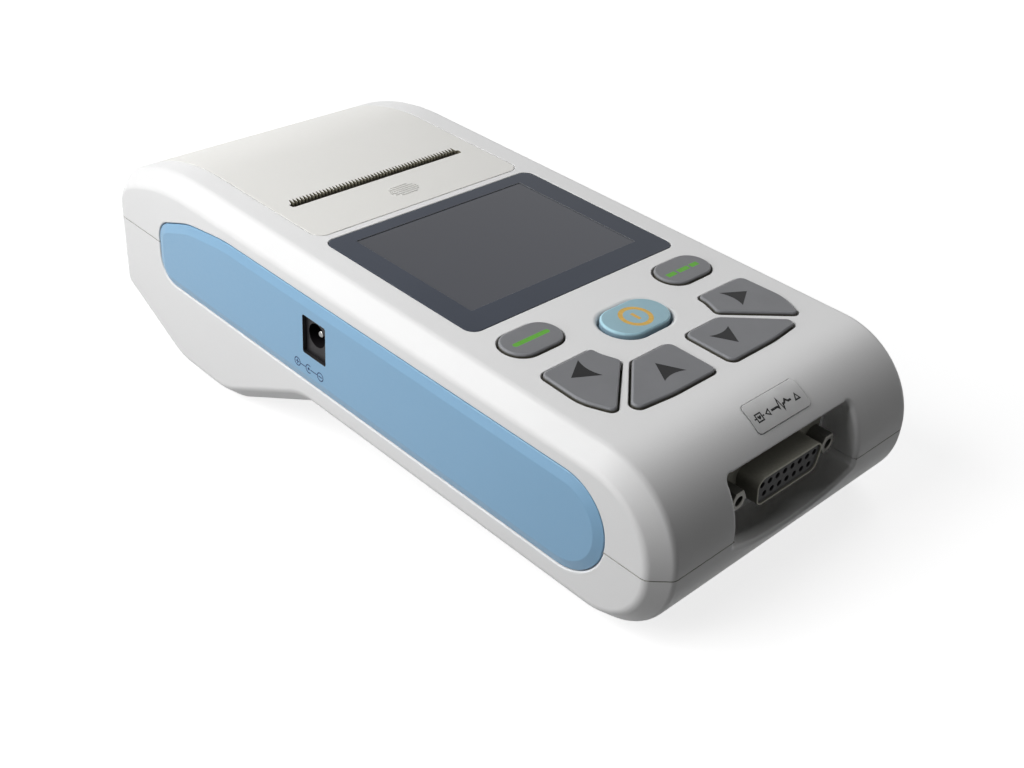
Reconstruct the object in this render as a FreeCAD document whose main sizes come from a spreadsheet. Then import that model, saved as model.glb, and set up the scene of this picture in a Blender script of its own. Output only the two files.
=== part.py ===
import FreeCAD, Part
import math
import os
from types import SimpleNamespace

import Sketcher

# Hand-held electrocardiograph with a built-in strip printer.
#
# Device frame, in millimetres: x = 0 is the middle of the width, y = 0 the foremost point of
# the nose, with +y towards the paper bay, and z = 0 the flat belly under the keypad.  The
# sub-parts are modelled level in this frame and then take one Placement, which stands them on
# their four feet with the paper bay raised.

DOC = FreeCAD.newDocument("ecg_home_monitor")

SIZES = {
    # case outline, seen from the side
    "length": 211.1,
    "half_width": 47.4,
    "deck": 42.9,
    "hump": 18.15,
    "part_line": 20.7,
    "wall": 2.4,
    "nose_round_top": 22.0,
    "nose_round_belly": 19.2,
    "bend_y": 188.1,
    "bend_slope": 24.4,
    "bend_round": 75.0,
    "rear_round": 13.0,
    "hump_front_y": 156.6,
    "hump_rear_y": 180.85,
    "hump_front_slope": 26.6,
    "hump_rear_slope": 26.7,
    "hump_start_round": 15.6,
    "hump_round": 21.0,
    "rear_foot_round": 6.5,
    "band_width": 4.75,
    "band_depth": 4.3,
    "band_round": 4.0,
    # side inlays
    "inlay_top": 34.7,
    "inlay_belly": 9.5,
    "inlay_front_y": 16.0,
    "inlay_rear_y": 186.6,
    "inlay_seat": 1.4,
    "inlay_proud": 0.6,
    "inlay_gap": 0.3,
    "inlay_edge": 0.9,
    # window and display
    "window_y": 70.6,
    "window_depth": 55.3,
    "window_half": 36.05,
    "window_thick": 1.6,
    "window_corner": 3.0,
    "window_gap": 0.15,
    "view_half": 31.5,
    "view_y": 75.0,
    "view_depth": 46.5,
    # keys
    "key_proud": 0.7,
    "key_gap": 0.35,
    "key_edge": 0.6,
    "key_travel": 0.9,
    "key_lip": 0.65,
    "key_lip_thick": 1.1,
    # nose recess and patient socket
    "recess_half": 22.6,
    "recess_top": 34.9,
    "recess_floor": 14.4,
    "recess_floor_round": 60.0,
    "recess_back": 10.6,
    "socket_z": 25.5,
    "screw_pitch": 33.32,
    "flange_half": 19.57,
    "flange_half_height": 6.25,
    "flange_thick": 1.0,
    "shell_half": 12.4,
    "shell_half_height": 3.95,
    "shell_reach": 6.0,
    "shell_wall": 0.45,
    "jackscrew_thread": 1.22,
    # inlet
    "inlet_y": 114.2,
    "inlet_z": 24.1,
    "inlet_half": 4.6,
    "inlet_half_height": 5.5,
    "inlet_bore": 3.2,
    "inlet_pin": 1.0,
    # paper door
    "door_front_y": 128.5,
    "door_half": 35.6,
    "door_thick": 2.0,
    "door_corner": 3.5,
    "door_gap": 0.35,
    "hinge_tilt": 35.0,
    "hinge_barrel": 3.4,
    "hinge_relief": 4.05,
    "hinge_pin": 1.0,
    "slot_y": 146.1,
    "slot_depth": 3.3,
    "slot_half": 30.2,
    "tooth_pitch": 1.1,
    "tooth_length": 1.1,
    # printer
    "platen_y": 153.8,
    "platen_z": 33.7,
    "platen_radius": 5.0,
    "platen_shaft": 2.0,
    "bush_radius": 3.2,
    "shaft_clearance": 0.05,
    "gear_module": 0.5,
    "gear_width": 2.6,
    "gear_x": 33.2,
    "motor_radius": 8.0,
    # paper
    "roll_y": 177.7,
    "roll_z": 4.4,
    "roll_radius": 17.4,
    "roll_width": 57.0,
    "core_radius": 7.2,
    "core_bore": 6.0,
    "spindle_radius": 5.92,
    "spindle_end": 3.0,
    # feet
    "foot_front_y": 24.5,
    "foot_rear_y": 168.6,
    "foot_x": 33.0,
    "foot_radius": 4.5,
    "foot_reach": 1.6,
    "foot_seat": 0.6,
}


class Size:
    """A length with its present value and the spreadsheet expression that gives it."""

    def __init__(self, value, text):
        self.value = value
        self.text = text

    def __add__(self, other):
        other = sized(other)
        return Size(self.value + other.value, f"({self.text} + {other.text})")

    def __sub__(self, other):
        other = sized(other)
        return Size(self.value - other.value, f"({self.text} - {other.text})")

    def __mul__(self, other):
        other = sized(other)
        return Size(self.value * other.value, f"({self.text} * {other.text})")

    def __truediv__(self, other):
        other = sized(other)
        return Size(self.value / other.value, f"({self.text} / {other.text})")

    def __radd__(self, other):
        return sized(other) + self

    def __rsub__(self, other):
        return sized(other) - self

    def __rmul__(self, other):
        return sized(other) * self

    def __neg__(self):
        return Size(-self.value, f"(0 - {self.text})")

    def turned(self, function):
        """The sine, cosine or tangent of this angle in degrees."""
        value = getattr(math, function)(math.radians(self.value))
        return Size(value, f"{function}({self.text} * 1 deg)")


def sized(value):
    return value if isinstance(value, Size) else Size(float(value), repr(float(value)))


def bind(target, name, size):
    """Give a property its value and, where the size comes from the sheet, its expression."""
    size = sized(size)
    if "Sizes." in size.text:
        target.setExpression(name, size.text)
    elif "." in name:
        target.setExpression(name, size.text)
    else:
        setattr(target, name, size.value)


SHEET = DOC.addObject("Spreadsheet::Sheet", "Sizes")
for row, (alias, size_value) in enumerate(SIZES.items(), start=1):
    SHEET.set(f"A{row}", alias)
    SHEET.set(f"B{row}", str(size_value))
    SHEET.setAlias(f"B{row}", alias)
DOC.recompute()
S = SimpleNamespace(**{alias: Size(value, f"Sizes.{alias}") for alias, value in SIZES.items()})

SUB_PARTS = []


# ---------------------------------------------------------------- drawing helpers


def box(name, x, y, z):
    """A Part::Box from its low and high limits along each axis."""
    block = DOC.addObject("Part::Box", name)
    for side, axis, (low, high) in (("Length", "x", x), ("Width", "y", y), ("Height", "z", z)):
        bind(block, side, sized(high) - low)
        bind(block, f"Placement.Base.{axis}", low)
    return block


TURN_TO = {
    "x": FreeCAD.Rotation(FreeCAD.Vector(0, 1, 0), 90),
    "y": FreeCAD.Rotation(FreeCAD.Vector(1, 0, 0), -90),
    "z": FreeCAD.Rotation(),
}


def rod(name, axis, radius, start, end, *centre):
    """A Part::Cylinder along one axis; centre is its place on the other two, in x, y, z order."""
    cylinder = DOC.addObject("Part::Cylinder", name)
    bind(cylinder, "Radius", radius)
    bind(cylinder, "Height", sized(end) - start)
    cylinder.Placement = FreeCAD.Placement(FreeCAD.Vector(), TURN_TO[axis])
    places = dict(zip([other for other in "xyz" if other != axis], centre))
    places[axis] = start
    for letter, place in places.items():
        bind(cylinder, f"Placement.Base.{letter}", place)
    return cylinder


def joined(name, *pieces):
    whole = DOC.addObject("Part::MultiFuse", name)
    whole.Shapes = list(pieces)
    return whole


def without(name, base, *tools):
    """The base with every tool cut from it."""
    result = DOC.addObject("Part::Cut", name)
    result.Base = base
    result.Tool = tools[0] if len(tools) == 1 else joined(f"{name}_tools", *tools)
    return result


def within(name, first, second):
    result = DOC.addObject("Part::Common", name)
    result.Base = first
    result.Tool = second
    return result


def grouped(name, *pieces):
    group = DOC.addObject("Part::Compound", name)
    group.Links = list(pieces)
    return group


def origin_plane(body, role):
    return next(plane for plane in body.Origin.OriginFeatures if plane.Role == role)


PLANES = {"xy": "XY_Plane", "xz": "XZ_Plane", "yz": "YZ_Plane"}


def outline_sketch(body, name, plane, outline, lift=0.0):
    """A closed polygon on an origin plane, each corner held by its two coordinates."""
    sketch = body.newObject("Sketcher::SketchObject", name)
    sketch.AttachmentSupport = [(origin_plane(body, PLANES[plane]), "")]
    sketch.MapMode = "FlatFace"
    bind(sketch, "AttachmentOffset.Base.z", lift)
    corners = [(sized(u), sized(v)) for u, v in outline]
    points = [FreeCAD.Vector(u.value, v.value, 0) for u, v in corners]
    for index, point in enumerate(points):
        sketch.addGeometry(Part.LineSegment(point, points[(index + 1) % len(points)]))
    for index, corner in enumerate(corners):
        following = (index + 1) % len(points)
        sketch.addConstraint(Sketcher.Constraint("Coincident", index, 2, following, 1))
        for kind, place in zip(("DistanceX", "DistanceY"), corner):
            held = sketch.addConstraint(Sketcher.Constraint(kind, -1, 1, index, 1, place.value))
            if "Sizes." in place.text:
                sketch.setExpression(f"Constraints[{held}]", place.text)
    return sketch


def padded(body, name, sketch, depth):
    pad = body.newObject("PartDesign::Pad", name)
    pad.Profile = sketch
    bind(pad, "Length", depth)
    body.Tip = pad
    return pad


AXES_ON = {"xy": ("x", "y"), "xz": ("x", "z"), "yz": ("y", "z")}


def corner_edges(shape, plane, corner, near=0.02):
    """Names of the edges that run square to the plane through one corner of the outline."""
    first, second = AXES_ON[plane]
    names = []
    for index, edge in enumerate(shape.Edges, start=1):
        ends = [vertex.Point for vertex in edge.Vertexes]
        if len(ends) == 2 and all(
            abs(getattr(end, first) - corner[0]) < near and abs(getattr(end, second) - corner[1]) < near
            for end in ends
        ):
            names.append(f"Edge{index}")
    return names


def dress(body, kind, name, edges, **sizes):
    """Add a Fillet or Chamfer on the named edges of the body's tip."""
    base = body.Tip
    feature = body.newObject(f"PartDesign::{kind}", name)
    feature.Base = (base, edges)
    for key, size in sizes.items():
        bind(feature, key, size)
    body.Tip = feature
    return feature


def prism(name, plane, outline, start, depth, rounds=()):
    """A Body: the outline padded along the plane's normal, with its corners rounded.

    rounds pairs a radius with the corners that take it.  The xz plane's normal is -y.
    """
    body = DOC.addObject("PartDesign::Body", name)
    sketch = outline_sketch(body, f"{name}_outline", plane, outline, start)
    padded(body, f"{name}_pad", sketch, depth)
    for order, (radius, corners) in enumerate(rounds):
        DOC.recompute()
        edges = []
        for corner in corners:
            place = [sized(coordinate).value for coordinate in outline[corner]]
            edges += corner_edges(body.Tip.Shape, plane, place)
        dress(body, "Fillet", f"{name}_round_{order}", edges, Radius=radius)
    return body


def edges_where(shape, test):
    return [f"Edge{index}" for index, edge in enumerate(shape.Edges, start=1) if test(edge)]


def edges_at(shape, axis, place, near=0.02):
    """Edges that lie wholly in the plane axis = place."""
    low, high = f"{axis.upper()}Min", f"{axis.upper()}Max"

    def lies_in(edge):
        bounds = edge.BoundBox
        return abs(getattr(bounds, low) - place) < near and abs(getattr(bounds, high) - place) < near

    return edges_where(shape, lies_in)


def grown(outline, gap):
    """The outline with each side moved outwards by gap; corners run anticlockwise."""
    places = [(sized(u), sized(v)) for u, v in outline]
    result = []
    for index, (u, v) in enumerate(places):
        before = places[index - 1]
        after = places[(index + 1) % len(places)]
        into = math.atan2(v.value - before[1].value, u.value - before[0].value)
        out = math.atan2(after[1].value - v.value, after[0].value - u.value)
        middle = (into + (out - into + math.pi) % (2 * math.pi) + into - math.pi) / 2 - math.pi / 2
        reach = 1 / math.cos((out - into + math.pi) % (2 * math.pi) / 2 - math.pi / 2)
        result.append((u + gap * (reach * math.cos(middle)), v + gap * (reach * math.sin(middle))))
    return result


def mirrored_outline(outline):
    """The outline reflected in x, put back into anticlockwise order."""
    return [(-sized(u), v) for u, v in reversed(outline)]


def rectangle(low_u, high_u, low_v, high_v):
    return [(low_u, low_v), (high_u, low_v), (high_u, high_v), (low_u, high_v)]


def keep(part, label):
    """Register an object as a sub-part under the name of its file."""
    part.Label = label
    SUB_PARTS.append(part)
    return part


# ---------------------------------------------------------------- the case's outer form

NOSE_TOP, NOSE_BELLY, HUMP_START, HUMP_FRONT, HUMP_REAR, REAR_FOOT, REAR_TOP, BEND = (
    0,
    1,
    2,
    3,
    4,
    5,
    6,
    7,
)
REAR_FOOT_Z = (S.length - S.hump_rear_y) * S.hump_rear_slope.turned("tan") - S.hump
HUMP_START_Y = S.hump_front_y - S.hump / S.hump_front_slope.turned("tan")


def case_side(depth):
    """The case's side outline, moved inwards by depth, as corners for prism()."""
    bend = (S.bend_slope / 2).turned("tan")
    front = (S.hump_front_slope / 2).turned("tan")
    rear = (S.hump_rear_slope / 2).turned("tan")
    bend_y = S.bend_y - depth * bend
    rear_top = S.deck - depth - (S.length - depth - bend_y) * S.bend_slope.turned("tan")
    foot_rise = (1 - S.hump_rear_slope.turned("sin")) / S.hump_rear_slope.turned("cos")
    return [
        (sized(depth) + 0, S.deck - depth),
        (sized(depth) + 0, sized(depth) + 0),
        (HUMP_START_Y + depth * front, sized(depth) + 0),
        (S.hump_front_y + depth * front, depth - S.hump),
        (S.hump_rear_y - depth * rear, depth - S.hump),
        (S.length - depth, REAR_FOOT_Z + depth * foot_rise),
        (S.length - depth, rear_top),
        (bend_y, S.deck - depth),
    ]


def side_form(name, depth, half):
    """The case's side outline, a depth further in, carried across the width as a Body."""
    return prism(
        name,
        "yz",
        case_side(depth),
        -half,
        half * 2,
        rounds=(
            (S.nose_round_top - depth, (NOSE_TOP,)),
            (S.nose_round_belly - depth, (NOSE_BELLY,)),
            (S.hump_start_round + depth, (HUMP_START,)),
            (S.hump_round - depth, (HUMP_FRONT, HUMP_REAR)),
            (S.rear_foot_round - depth, (REAR_FOOT,)),
            (S.rear_round - depth, (REAR_TOP,)),
            (S.bend_round - depth, (BEND,)),
        ),
    )


def case_outer():
    """The case's outer form: both rims bevelled into a broad band with softened edges."""
    body = side_form("case_outer", 0.0, S.half_width)
    DOC.recompute()
    half = S.half_width.value
    inner = half - S.band_width.value
    rims = edges_at(body.Tip.Shape, "x", half) + edges_at(body.Tip.Shape, "x", -half)
    band = dress(body, "Chamfer", "case_outer_band", rims)
    band.ChamferType = "Two distances"
    bind(band, "Size", S.band_depth)
    bind(band, "Size2", S.band_width)
    DOC.recompute()
    soft = []
    for place in (half, -half, inner, -inner):
        soft += edges_at(body.Tip.Shape, "x", place)
    dress(body, "Fillet", "case_outer_soft", soft, Radius=S.band_round)
    return body


def case_core():
    """The hollow inside the walls, in two steps so that it clears the band."""
    tall = side_form("core_tall", S.wall, S.half_width - S.band_width - 0.9)
    wide = side_form("core_wide", S.band_depth + 1.6, S.half_width - S.wall)
    return joined("case_core", tall, wide)


# Corner arc at the rear of the deck, and the door's hinge axis just inside it.
REAR_ARC_Y = S.length - S.rear_round
REAR_ARC_Z = (
    S.deck
    - (REAR_ARC_Y - S.bend_y) * S.bend_slope.turned("tan")
    - S.rear_round / S.bend_slope.turned("cos")
)
HINGE_Y = REAR_ARC_Y + (S.rear_round - S.hinge_barrel) * S.hinge_tilt.turned("sin")
HINGE_Z = REAR_ARC_Z + (S.rear_round - S.hinge_barrel) * S.hinge_tilt.turned("cos")
DOOR_REAR_Y = REAR_ARC_Y + S.rear_round * S.hinge_tilt.turned("sin")

# ---------------------------------------------------------------- key outlines
# Seen from above, anticlockwise, in x and in y measured back from the nose.

OVAL_HALF = 8.75
OVAL_HALF_DEPTH = 5.5
OVAL_X = 26.85
OVAL_Y = 60.4
POWER_HALF = 10.0
POWER_HALF_DEPTH = 6.5
POWER_Y = 51.7

LEFT_FAN = [
    (-33.2, 27.6),
    (-16.7, 41.3),
    (-18.5, 46.0),
    (-18.8, 49.3),
    (-36.5, 49.1),
    (-37.5, 35.4),
]
LEFT_FAN_ROUNDS = ((1.6, (0, 1, 3)), (6.0, (2,)), (2.2, (4,)), (12.0, (5,)))
UP_FAN = [
    (-31.6, 26.4),
    (-18.0, 25.0),
    (-2.3, 25.0),
    (-2.3, 40.1),
    (-15.6, 40.1),
]
UP_FAN_ROUNDS = ((1.5, (0,)), (30.0, (1,)), (2.2, (2, 3)), (1.8, (4,)))


def oval(centre_x, centre_y, half, half_depth):
    return rectangle(
        centre_x - half, centre_x + half, centre_y - half_depth, centre_y + half_depth
    )


def mirrored_rounds(rounds, count):
    return tuple((radius, tuple(count - 1 - corner for corner in corners)) for radius, corners in rounds)


ALL_ROUND = (0, 1, 2, 3)
KEYS = {
    "key_print": (oval(-OVAL_X, OVAL_Y, OVAL_HALF, OVAL_HALF_DEPTH), ((5.4, ALL_ROUND),)),
    "key_mode": (oval(OVAL_X, OVAL_Y, OVAL_HALF, OVAL_HALF_DEPTH), ((5.4, ALL_ROUND),)),
    "key_power": (oval(0.0, POWER_Y, POWER_HALF, POWER_HALF_DEPTH), ((6.4, ALL_ROUND),)),
    "key_left": (LEFT_FAN, LEFT_FAN_ROUNDS),
    "key_right": (mirrored_outline(LEFT_FAN), mirrored_rounds(LEFT_FAN_ROUNDS, len(LEFT_FAN))),
    "key_up": (UP_FAN, UP_FAN_ROUNDS),
    "key_down": (mirrored_outline(UP_FAN), mirrored_rounds(UP_FAN_ROUNDS, len(UP_FAN))),
}
KEY_LIP_TOP = S.deck - S.wall - 0.2
KEY_BELLY = KEY_LIP_TOP - S.key_lip_thick
KEY_CENTRES = {
    "key_print": (-OVAL_X, OVAL_Y),
    "key_mode": (OVAL_X, OVAL_Y),
    "key_power": (0.0, POWER_Y),
    "key_left": (-28.6, 41.2),
    "key_right": (28.6, 41.2),
    "key_up": (-13.4, 33.2),
    "key_down": (13.4, 33.2),
}


def more_round(rounds, extra):
    return tuple((radius + extra, corners) for radius, corners in rounds)


def make_keys():
    """Seven rubber keys: a cap through the deck and a lip under it that holds the key in."""
    for name, (outline, rounds) in KEYS.items():
        height = S.deck + S.key_proud - KEY_BELLY
        cap = prism(f"{name}_cap", "xy", outline, KEY_BELLY, height, rounds)
        DOC.recompute()
        top = edges_at(cap.Tip.Shape, "z", (S.deck + S.key_proud).value)
        dress(cap, "Fillet", f"{name}_edge", top, Radius=S.key_edge)
        lip = prism(
            f"{name}_lip",
            "xy",
            grown(outline, S.key_lip),
            KEY_BELLY,
            S.key_lip_thick,
            more_round(rounds, S.key_lip.value),
        )
        keep(joined(f"{name}_whole", cap, lip), name)


def key_openings():
    """Cutters for the seven openings in the deck."""
    return [
        prism(
            f"{name}_opening",
            "xy",
            grown(outline, S.key_gap),
            S.deck - S.wall * 2,
            S.wall * 3,
            more_round(rounds, S.key_gap.value),
        )
        for name, (outline, rounds) in KEYS.items()
    ]


# ---------------------------------------------------------------- side inlays


def inlay_outline(gap):
    """The side panel's outline: straight along the case, bent down at its rear."""
    return [
        (S.inlay_front_y - gap, S.inlay_belly - gap),
        (S.inlay_rear_y + gap, S.inlay_belly - gap),
        (S.inlay_rear_y + gap, S.inlay_top - 4.5 + gap),
        (S.inlay_rear_y - 46.0, S.inlay_top + gap),
        (S.inlay_front_y - gap, S.inlay_top + gap),
    ]


def inlay_rounds(gap):
    nose = (S.inlay_top - S.inlay_belly) / 2 - 0.05
    return (
        (nose + gap, (0, 4)),
        (5.0 + gap, (1,)),
        (10.0 + gap, (2,)),
    )


def inlay_body(name, side):
    """One side panel; side is -1 for the left and +1 for the right."""
    inner = S.half_width - S.inlay_seat
    thick = S.inlay_seat + S.inlay_proud
    start = inner if side > 0 else -(inner + thick)
    body = prism(name, "yz", inlay_outline(0.0), start, thick, inlay_rounds(0.0))
    DOC.recompute()
    rim = edges_at(body.Tip.Shape, "x", side * (inner + thick).value)
    dress(body, "Fillet", f"{name}_edge", rim, Radius=S.inlay_edge)
    return body


def inlay_seat(name, side):
    inner = S.half_width - S.inlay_seat
    start = inner if side > 0 else -(inner + 5.0)
    return prism(name, "yz", inlay_outline(S.inlay_gap), start, 5.0, inlay_rounds(S.inlay_gap))


def inlet_hole(name, gap, depth):
    return box(
        name,
        (-S.half_width - 3.0, -S.half_width + depth),
        (S.inlet_y - S.inlet_half - gap, S.inlet_y + S.inlet_half + gap),
        (S.inlet_z - S.inlet_half_height - gap, S.inlet_z + S.inlet_half_height + gap),
    )


def make_inlays():
    left = inlay_body("left_panel", -1)
    keep(without("left_panel_cut", left, inlet_hole("left_panel_hole", 0.0, 8.0)), "left_side_inlay")
    keep(inlay_body("right_panel", 1), "right_side_inlay")


# ---------------------------------------------------------------- window and display


def window_outline(gap):
    return rectangle(
        -S.window_half - gap,
        S.window_half + gap,
        S.window_y - gap,
        S.window_y + S.window_depth + gap,
    )


def make_display():
    window = prism(
        "window_pane",
        "xy",
        window_outline(0.0),
        S.deck - S.window_thick,
        S.window_thick,
        ((S.window_corner, ALL_ROUND),),
    )
    DOC.recompute()
    rim = edges_at(window.Tip.Shape, "z", S.deck.value)
    dress(window, "Chamfer", "window_rim", rim, Size=0.2)
    keep(window, "screen_window")

    lcd_half = 34.4
    lcd_top = S.deck - S.wall - 0.2
    glass = box("lcd_glass", (-lcd_half, lcd_half), (73.0, 122.6), (lcd_top - 2.0, lcd_top))
    tray = box("lcd_tray", (-lcd_half - 0.8, lcd_half + 0.8), (72.2, 123.4), (lcd_top - 4.2, lcd_top - 2.0))
    keep(joined("lcd", glass, tray), "lcd_module")


# ---------------------------------------------------------------- the case halves

BOSS_PLACES = [(side * x, y) for x, y in ((37.5, 17.6), (37.6, 69.2), (38.2, 124.2)) for side in (-1, 1)]
CASE_SCREW_PLACES = [(side * x, y) for x, y in ((38.6, 27.5), (38.8, 104.0)) for side in (-1, 1)]
BOARD_TOP = S.deck - 10.5
PRINTER_POSTS = [(-24.0, 143.5), (-24.0, 156.0), (24.0, 156.0), (4.0, 143.5)]
PRINTER_FLOOR = 22.4
KEY_BOARD_POSTS = [(-36.6, 24.3), (36.6, 24.3), (0.0, 64.6)]
KEY_BOARD_TOP = KEY_BELLY - S.key_travel - 0.15 - 0.8
FAR = 300.0


def door_opening():
    """Cutters for the paper bay's mouth: the door's plan, grown, and room for its barrel."""
    mouth = prism(
        "bay_mouth",
        "xy",
        rectangle(-S.door_half - S.door_gap, S.door_half + S.door_gap, S.door_front_y - S.door_gap, DOOR_REAR_Y),
        30.0,
        30.0,
        ((S.door_corner + S.door_gap, (0, 1)),),
    )
    half = S.door_half + S.door_gap
    barrel = rod("bay_barrel", "x", S.hinge_relief, -half, half, HINGE_Y, HINGE_Z)
    return [mouth, barrel]


def recess_cutter():
    """The nose recess: a flat roof, straight sides and a floor dished about a long radius."""
    hollow = box(
        "recess_box",
        (-S.recess_half, S.recess_half),
        (-5.0, S.recess_back),
        (S.recess_floor - 1.0, S.recess_top),
    )
    dish = rod(
        "recess_dish",
        "y",
        S.recess_floor_round,
        -6.0,
        S.recess_back + 1.0,
        0.0,
        S.recess_floor + S.recess_floor_round,
    )
    return within("recess", hollow, dish)


def make_case():
    outer = case_outer()
    skin = without("case_skin", outer, case_core())

    # solid stock that the recess is then cut from, so that the recess has walls of its own
    nose_stock = box(
        "nose_stock",
        (-S.recess_half - 1.8, S.recess_half + 1.8),
        (-1.0, S.recess_back + 1.8),
        (S.recess_floor - 1.8, S.recess_top + 1.8),
    )
    hinge_ears = [
        box(
            f"hinge_ear_{side}",
            tuple(sorted((side * 36.6, side * 40.6), key=float)),
            (HINGE_Y - 4.2, HINGE_Y + 4.5),
            (HINGE_Z - 3.6, HINGE_Z + 3.6),
        )
        for side in (-1, 1)
    ]
    upper_bosses = [
        rod(f"boss_{index}", "z", 2.5, BOARD_TOP, S.deck - 1.4, x, y)
        for index, (x, y) in enumerate(BOSS_PLACES)
    ]
    key_posts = [
        rod(f"key_post_{index}", "z", 1.8, KEY_BOARD_TOP, S.deck - 1.4, x, y)
        for index, (x, y) in enumerate(KEY_BOARD_POSTS)
    ]
    door_ledge = box("door_ledge", (-33.0, 33.0), (126.2, 130.6), (S.deck - 4.2, S.deck - S.door_thick - 0.2))
    roll_ribs = [
        box(
            f"roll_rib_{side}",
            tuple(sorted((side * 30.2, side * 32.2), key=float)),
            (S.roll_y - 9.0, S.roll_y + 9.0),
            (-20.0, S.roll_z + 4.0),
        )
        for side in (-1, 1)
    ]
    case_towers = [
        rod(f"tower_{index}", "z", 3.4, 1.0, S.part_line, x, y)
        for index, (x, y) in enumerate(CASE_SCREW_PLACES)
    ]
    fixings = joined(
        "fixings",
        nose_stock,
        door_ledge,
        *hinge_ears,
        *upper_bosses,
        *key_posts,
        *roll_ribs,
        *case_towers,
    )
    stocked = joined("case_stocked", skin, within("fixings_inside", fixings, outer))

    hinge_hole = rod("hinge_hole", "x", S.hinge_pin, -39.8, 39.8, HINGE_Y, HINGE_Z)
    window_seat = prism(
        "window_seat",
        "xy",
        window_outline(S.window_gap),
        S.deck - S.window_thick,
        10.0,
        ((S.window_corner + S.window_gap, ALL_ROUND),),
    )
    view = box(
        "view",
        (-S.view_half, S.view_half),
        (S.view_y, S.view_y + S.view_depth),
        (S.deck - S.wall - 4.0, S.deck),
    )
    socket_way = box(
        "socket_way",
        (-S.shell_half, S.shell_half),
        (S.recess_back - 1.0, S.recess_back + 4.0),
        (S.socket_z - S.shell_half_height, S.socket_z + S.shell_half_height),
    )
    screw_ways = [
        rod(
            f"jackscrew_way_{side}",
            "y",
            1.6,
            S.recess_back - 1.0,
            S.recess_back + 4.0,
            side * S.screw_pitch / 2,
            S.socket_z,
        )
        for side in (-1, 1)
    ]
    roll_slots = [
        box(
            f"roll_slot_{side}",
            tuple(sorted((side * 29.0, side * 33.4), key=float)),
            (S.roll_y - S.spindle_end - 0.08, S.roll_y + S.spindle_end + 0.08),
            (S.roll_z, S.roll_z + 9.0),
        )
        for side in (-1, 1)
    ]
    roll_seats = [
        rod(f"roll_seat_{side}", "x", S.spindle_end + 0.08, side * 31.2 - 2.2, side * 31.2 + 2.2, S.roll_y, S.roll_z)
        for side in (-1, 1)
    ]
    case_holes = [
        rod(f"screw_hole_{index}", "z", 1.5, -3.0, S.part_line + 3.0, x, y)
        for index, (x, y) in enumerate(CASE_SCREW_PLACES)
    ]
    head_holes = [
        rod(f"head_hole_{index}", "z", 2.7, -3.0, 3.2, x, y)
        for index, (x, y) in enumerate(CASE_SCREW_PLACES)
    ]
    cutters = joined(
        "case_cutters",
        recess_cutter(),
        *door_opening(),
        *key_openings(),
        window_seat,
        view,
        socket_way,
        *screw_ways,
        hinge_hole,
        *roll_slots,
        *roll_seats,
        inlay_seat("left_seat", -1),
        inlay_seat("right_seat", 1),
        inlet_hole("inlet_way", 0.2, 5.0),
        *case_holes,
        *head_holes,
        *foot_cutters(),
        label_solid("label_seat", 0.12),
    )
    whole = without("case_whole", stocked, cutters)
    above = box("above", (-FAR, FAR), (-FAR, FAR), (S.part_line, FAR))
    below = box("below", (-FAR, FAR), (-FAR, FAR), (-FAR, S.part_line))
    keep(within("case_above", whole, above), "upper_case")
    posts = joined(
        "printer_posts",
        *[
            rod(f"printer_post_{index}", "z", 2.4, -20.0, PRINTER_FLOOR, x, y)
            for index, (x, y) in enumerate(PRINTER_POSTS)
        ],
    )
    posts_inside = within("printer_posts_inside", posts, outer)
    keep(joined("case_below_posted", within("case_below", whole, below), posts_inside), "lower_case")

    keep(grouped("pin_of_hinge", rod("pin_rod", "x", S.hinge_pin, -39.6, 39.6, HINGE_Y, HINGE_Z)), "door_hinge_pin")
    screws = []
    for index, (x, y) in enumerate(CASE_SCREW_PLACES):
        head = rod(f"screw_head_{index}", "z", 2.5, 1.2, 3.2, x, y)
        shank = rod(f"screw_shank_{index}", "z", 1.45, 3.2, S.part_line - 0.6, x, y)
        screws.append(joined(f"case_screw_{index}", head, shank))
    keep(grouped("case_screw_set", *screws), "case_screws")


# ---------------------------------------------------------------- label plate

LABEL_LEFT = -8.7
LABEL_RIGHT = 10.4
LABEL_THICK = 0.35
LABEL_LOW = 49.8
LABEL_SPAN = 19.6


def label_solid(name, gap):
    """A plate bent round the nose: a ring about the nose's axis, cut to width and span."""
    axis_z = S.deck - S.nose_round_top
    radius = S.nose_round_top + 0.2
    ends = (LABEL_LEFT - gap, LABEL_RIGHT + gap)
    outside = rod(f"{name}_out", "x", radius, *ends, S.nose_round_top, axis_z)
    inside = rod(f"{name}_in", "x", radius - LABEL_THICK - gap, -FAR, FAR, S.nose_round_top, axis_z)
    low = math.radians(LABEL_LOW - gap * 2.0)
    high = math.radians(LABEL_LOW + LABEL_SPAN + gap * 2.0)
    reach = 60.0
    sector = prism(
        f"{name}_sector",
        "yz",
        [
            (S.nose_round_top, axis_z),
            (S.nose_round_top - reach * math.cos(low), axis_z + reach * math.sin(low)),
            (S.nose_round_top - reach * math.cos(high), axis_z + reach * math.sin(high)),
        ],
        -FAR / 10,
        FAR / 5,
    )
    ring = without(f"{name}_ring", outside, inside)
    return within(name, ring, sector)


def make_label():
    keep(label_solid("label", 0.0), "label_plate")


# ---------------------------------------------------------------- patient socket

CONTACT_PITCH = 2.77
CONTACT_ROWS = ((1.42, 8), (-1.42, 7))


def socket_outline(gap):
    """The D: a wider upper side and sides that lean in by ten degrees."""
    lean = 1.35
    return [
        (-S.shell_half - gap + lean, S.socket_z - S.shell_half_height - gap),
        (S.shell_half + gap - lean, S.socket_z - S.shell_half_height - gap),
        (S.shell_half + gap, S.socket_z + S.shell_half_height + gap),
        (-S.shell_half - gap, S.socket_z + S.shell_half_height + gap),
    ]


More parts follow.
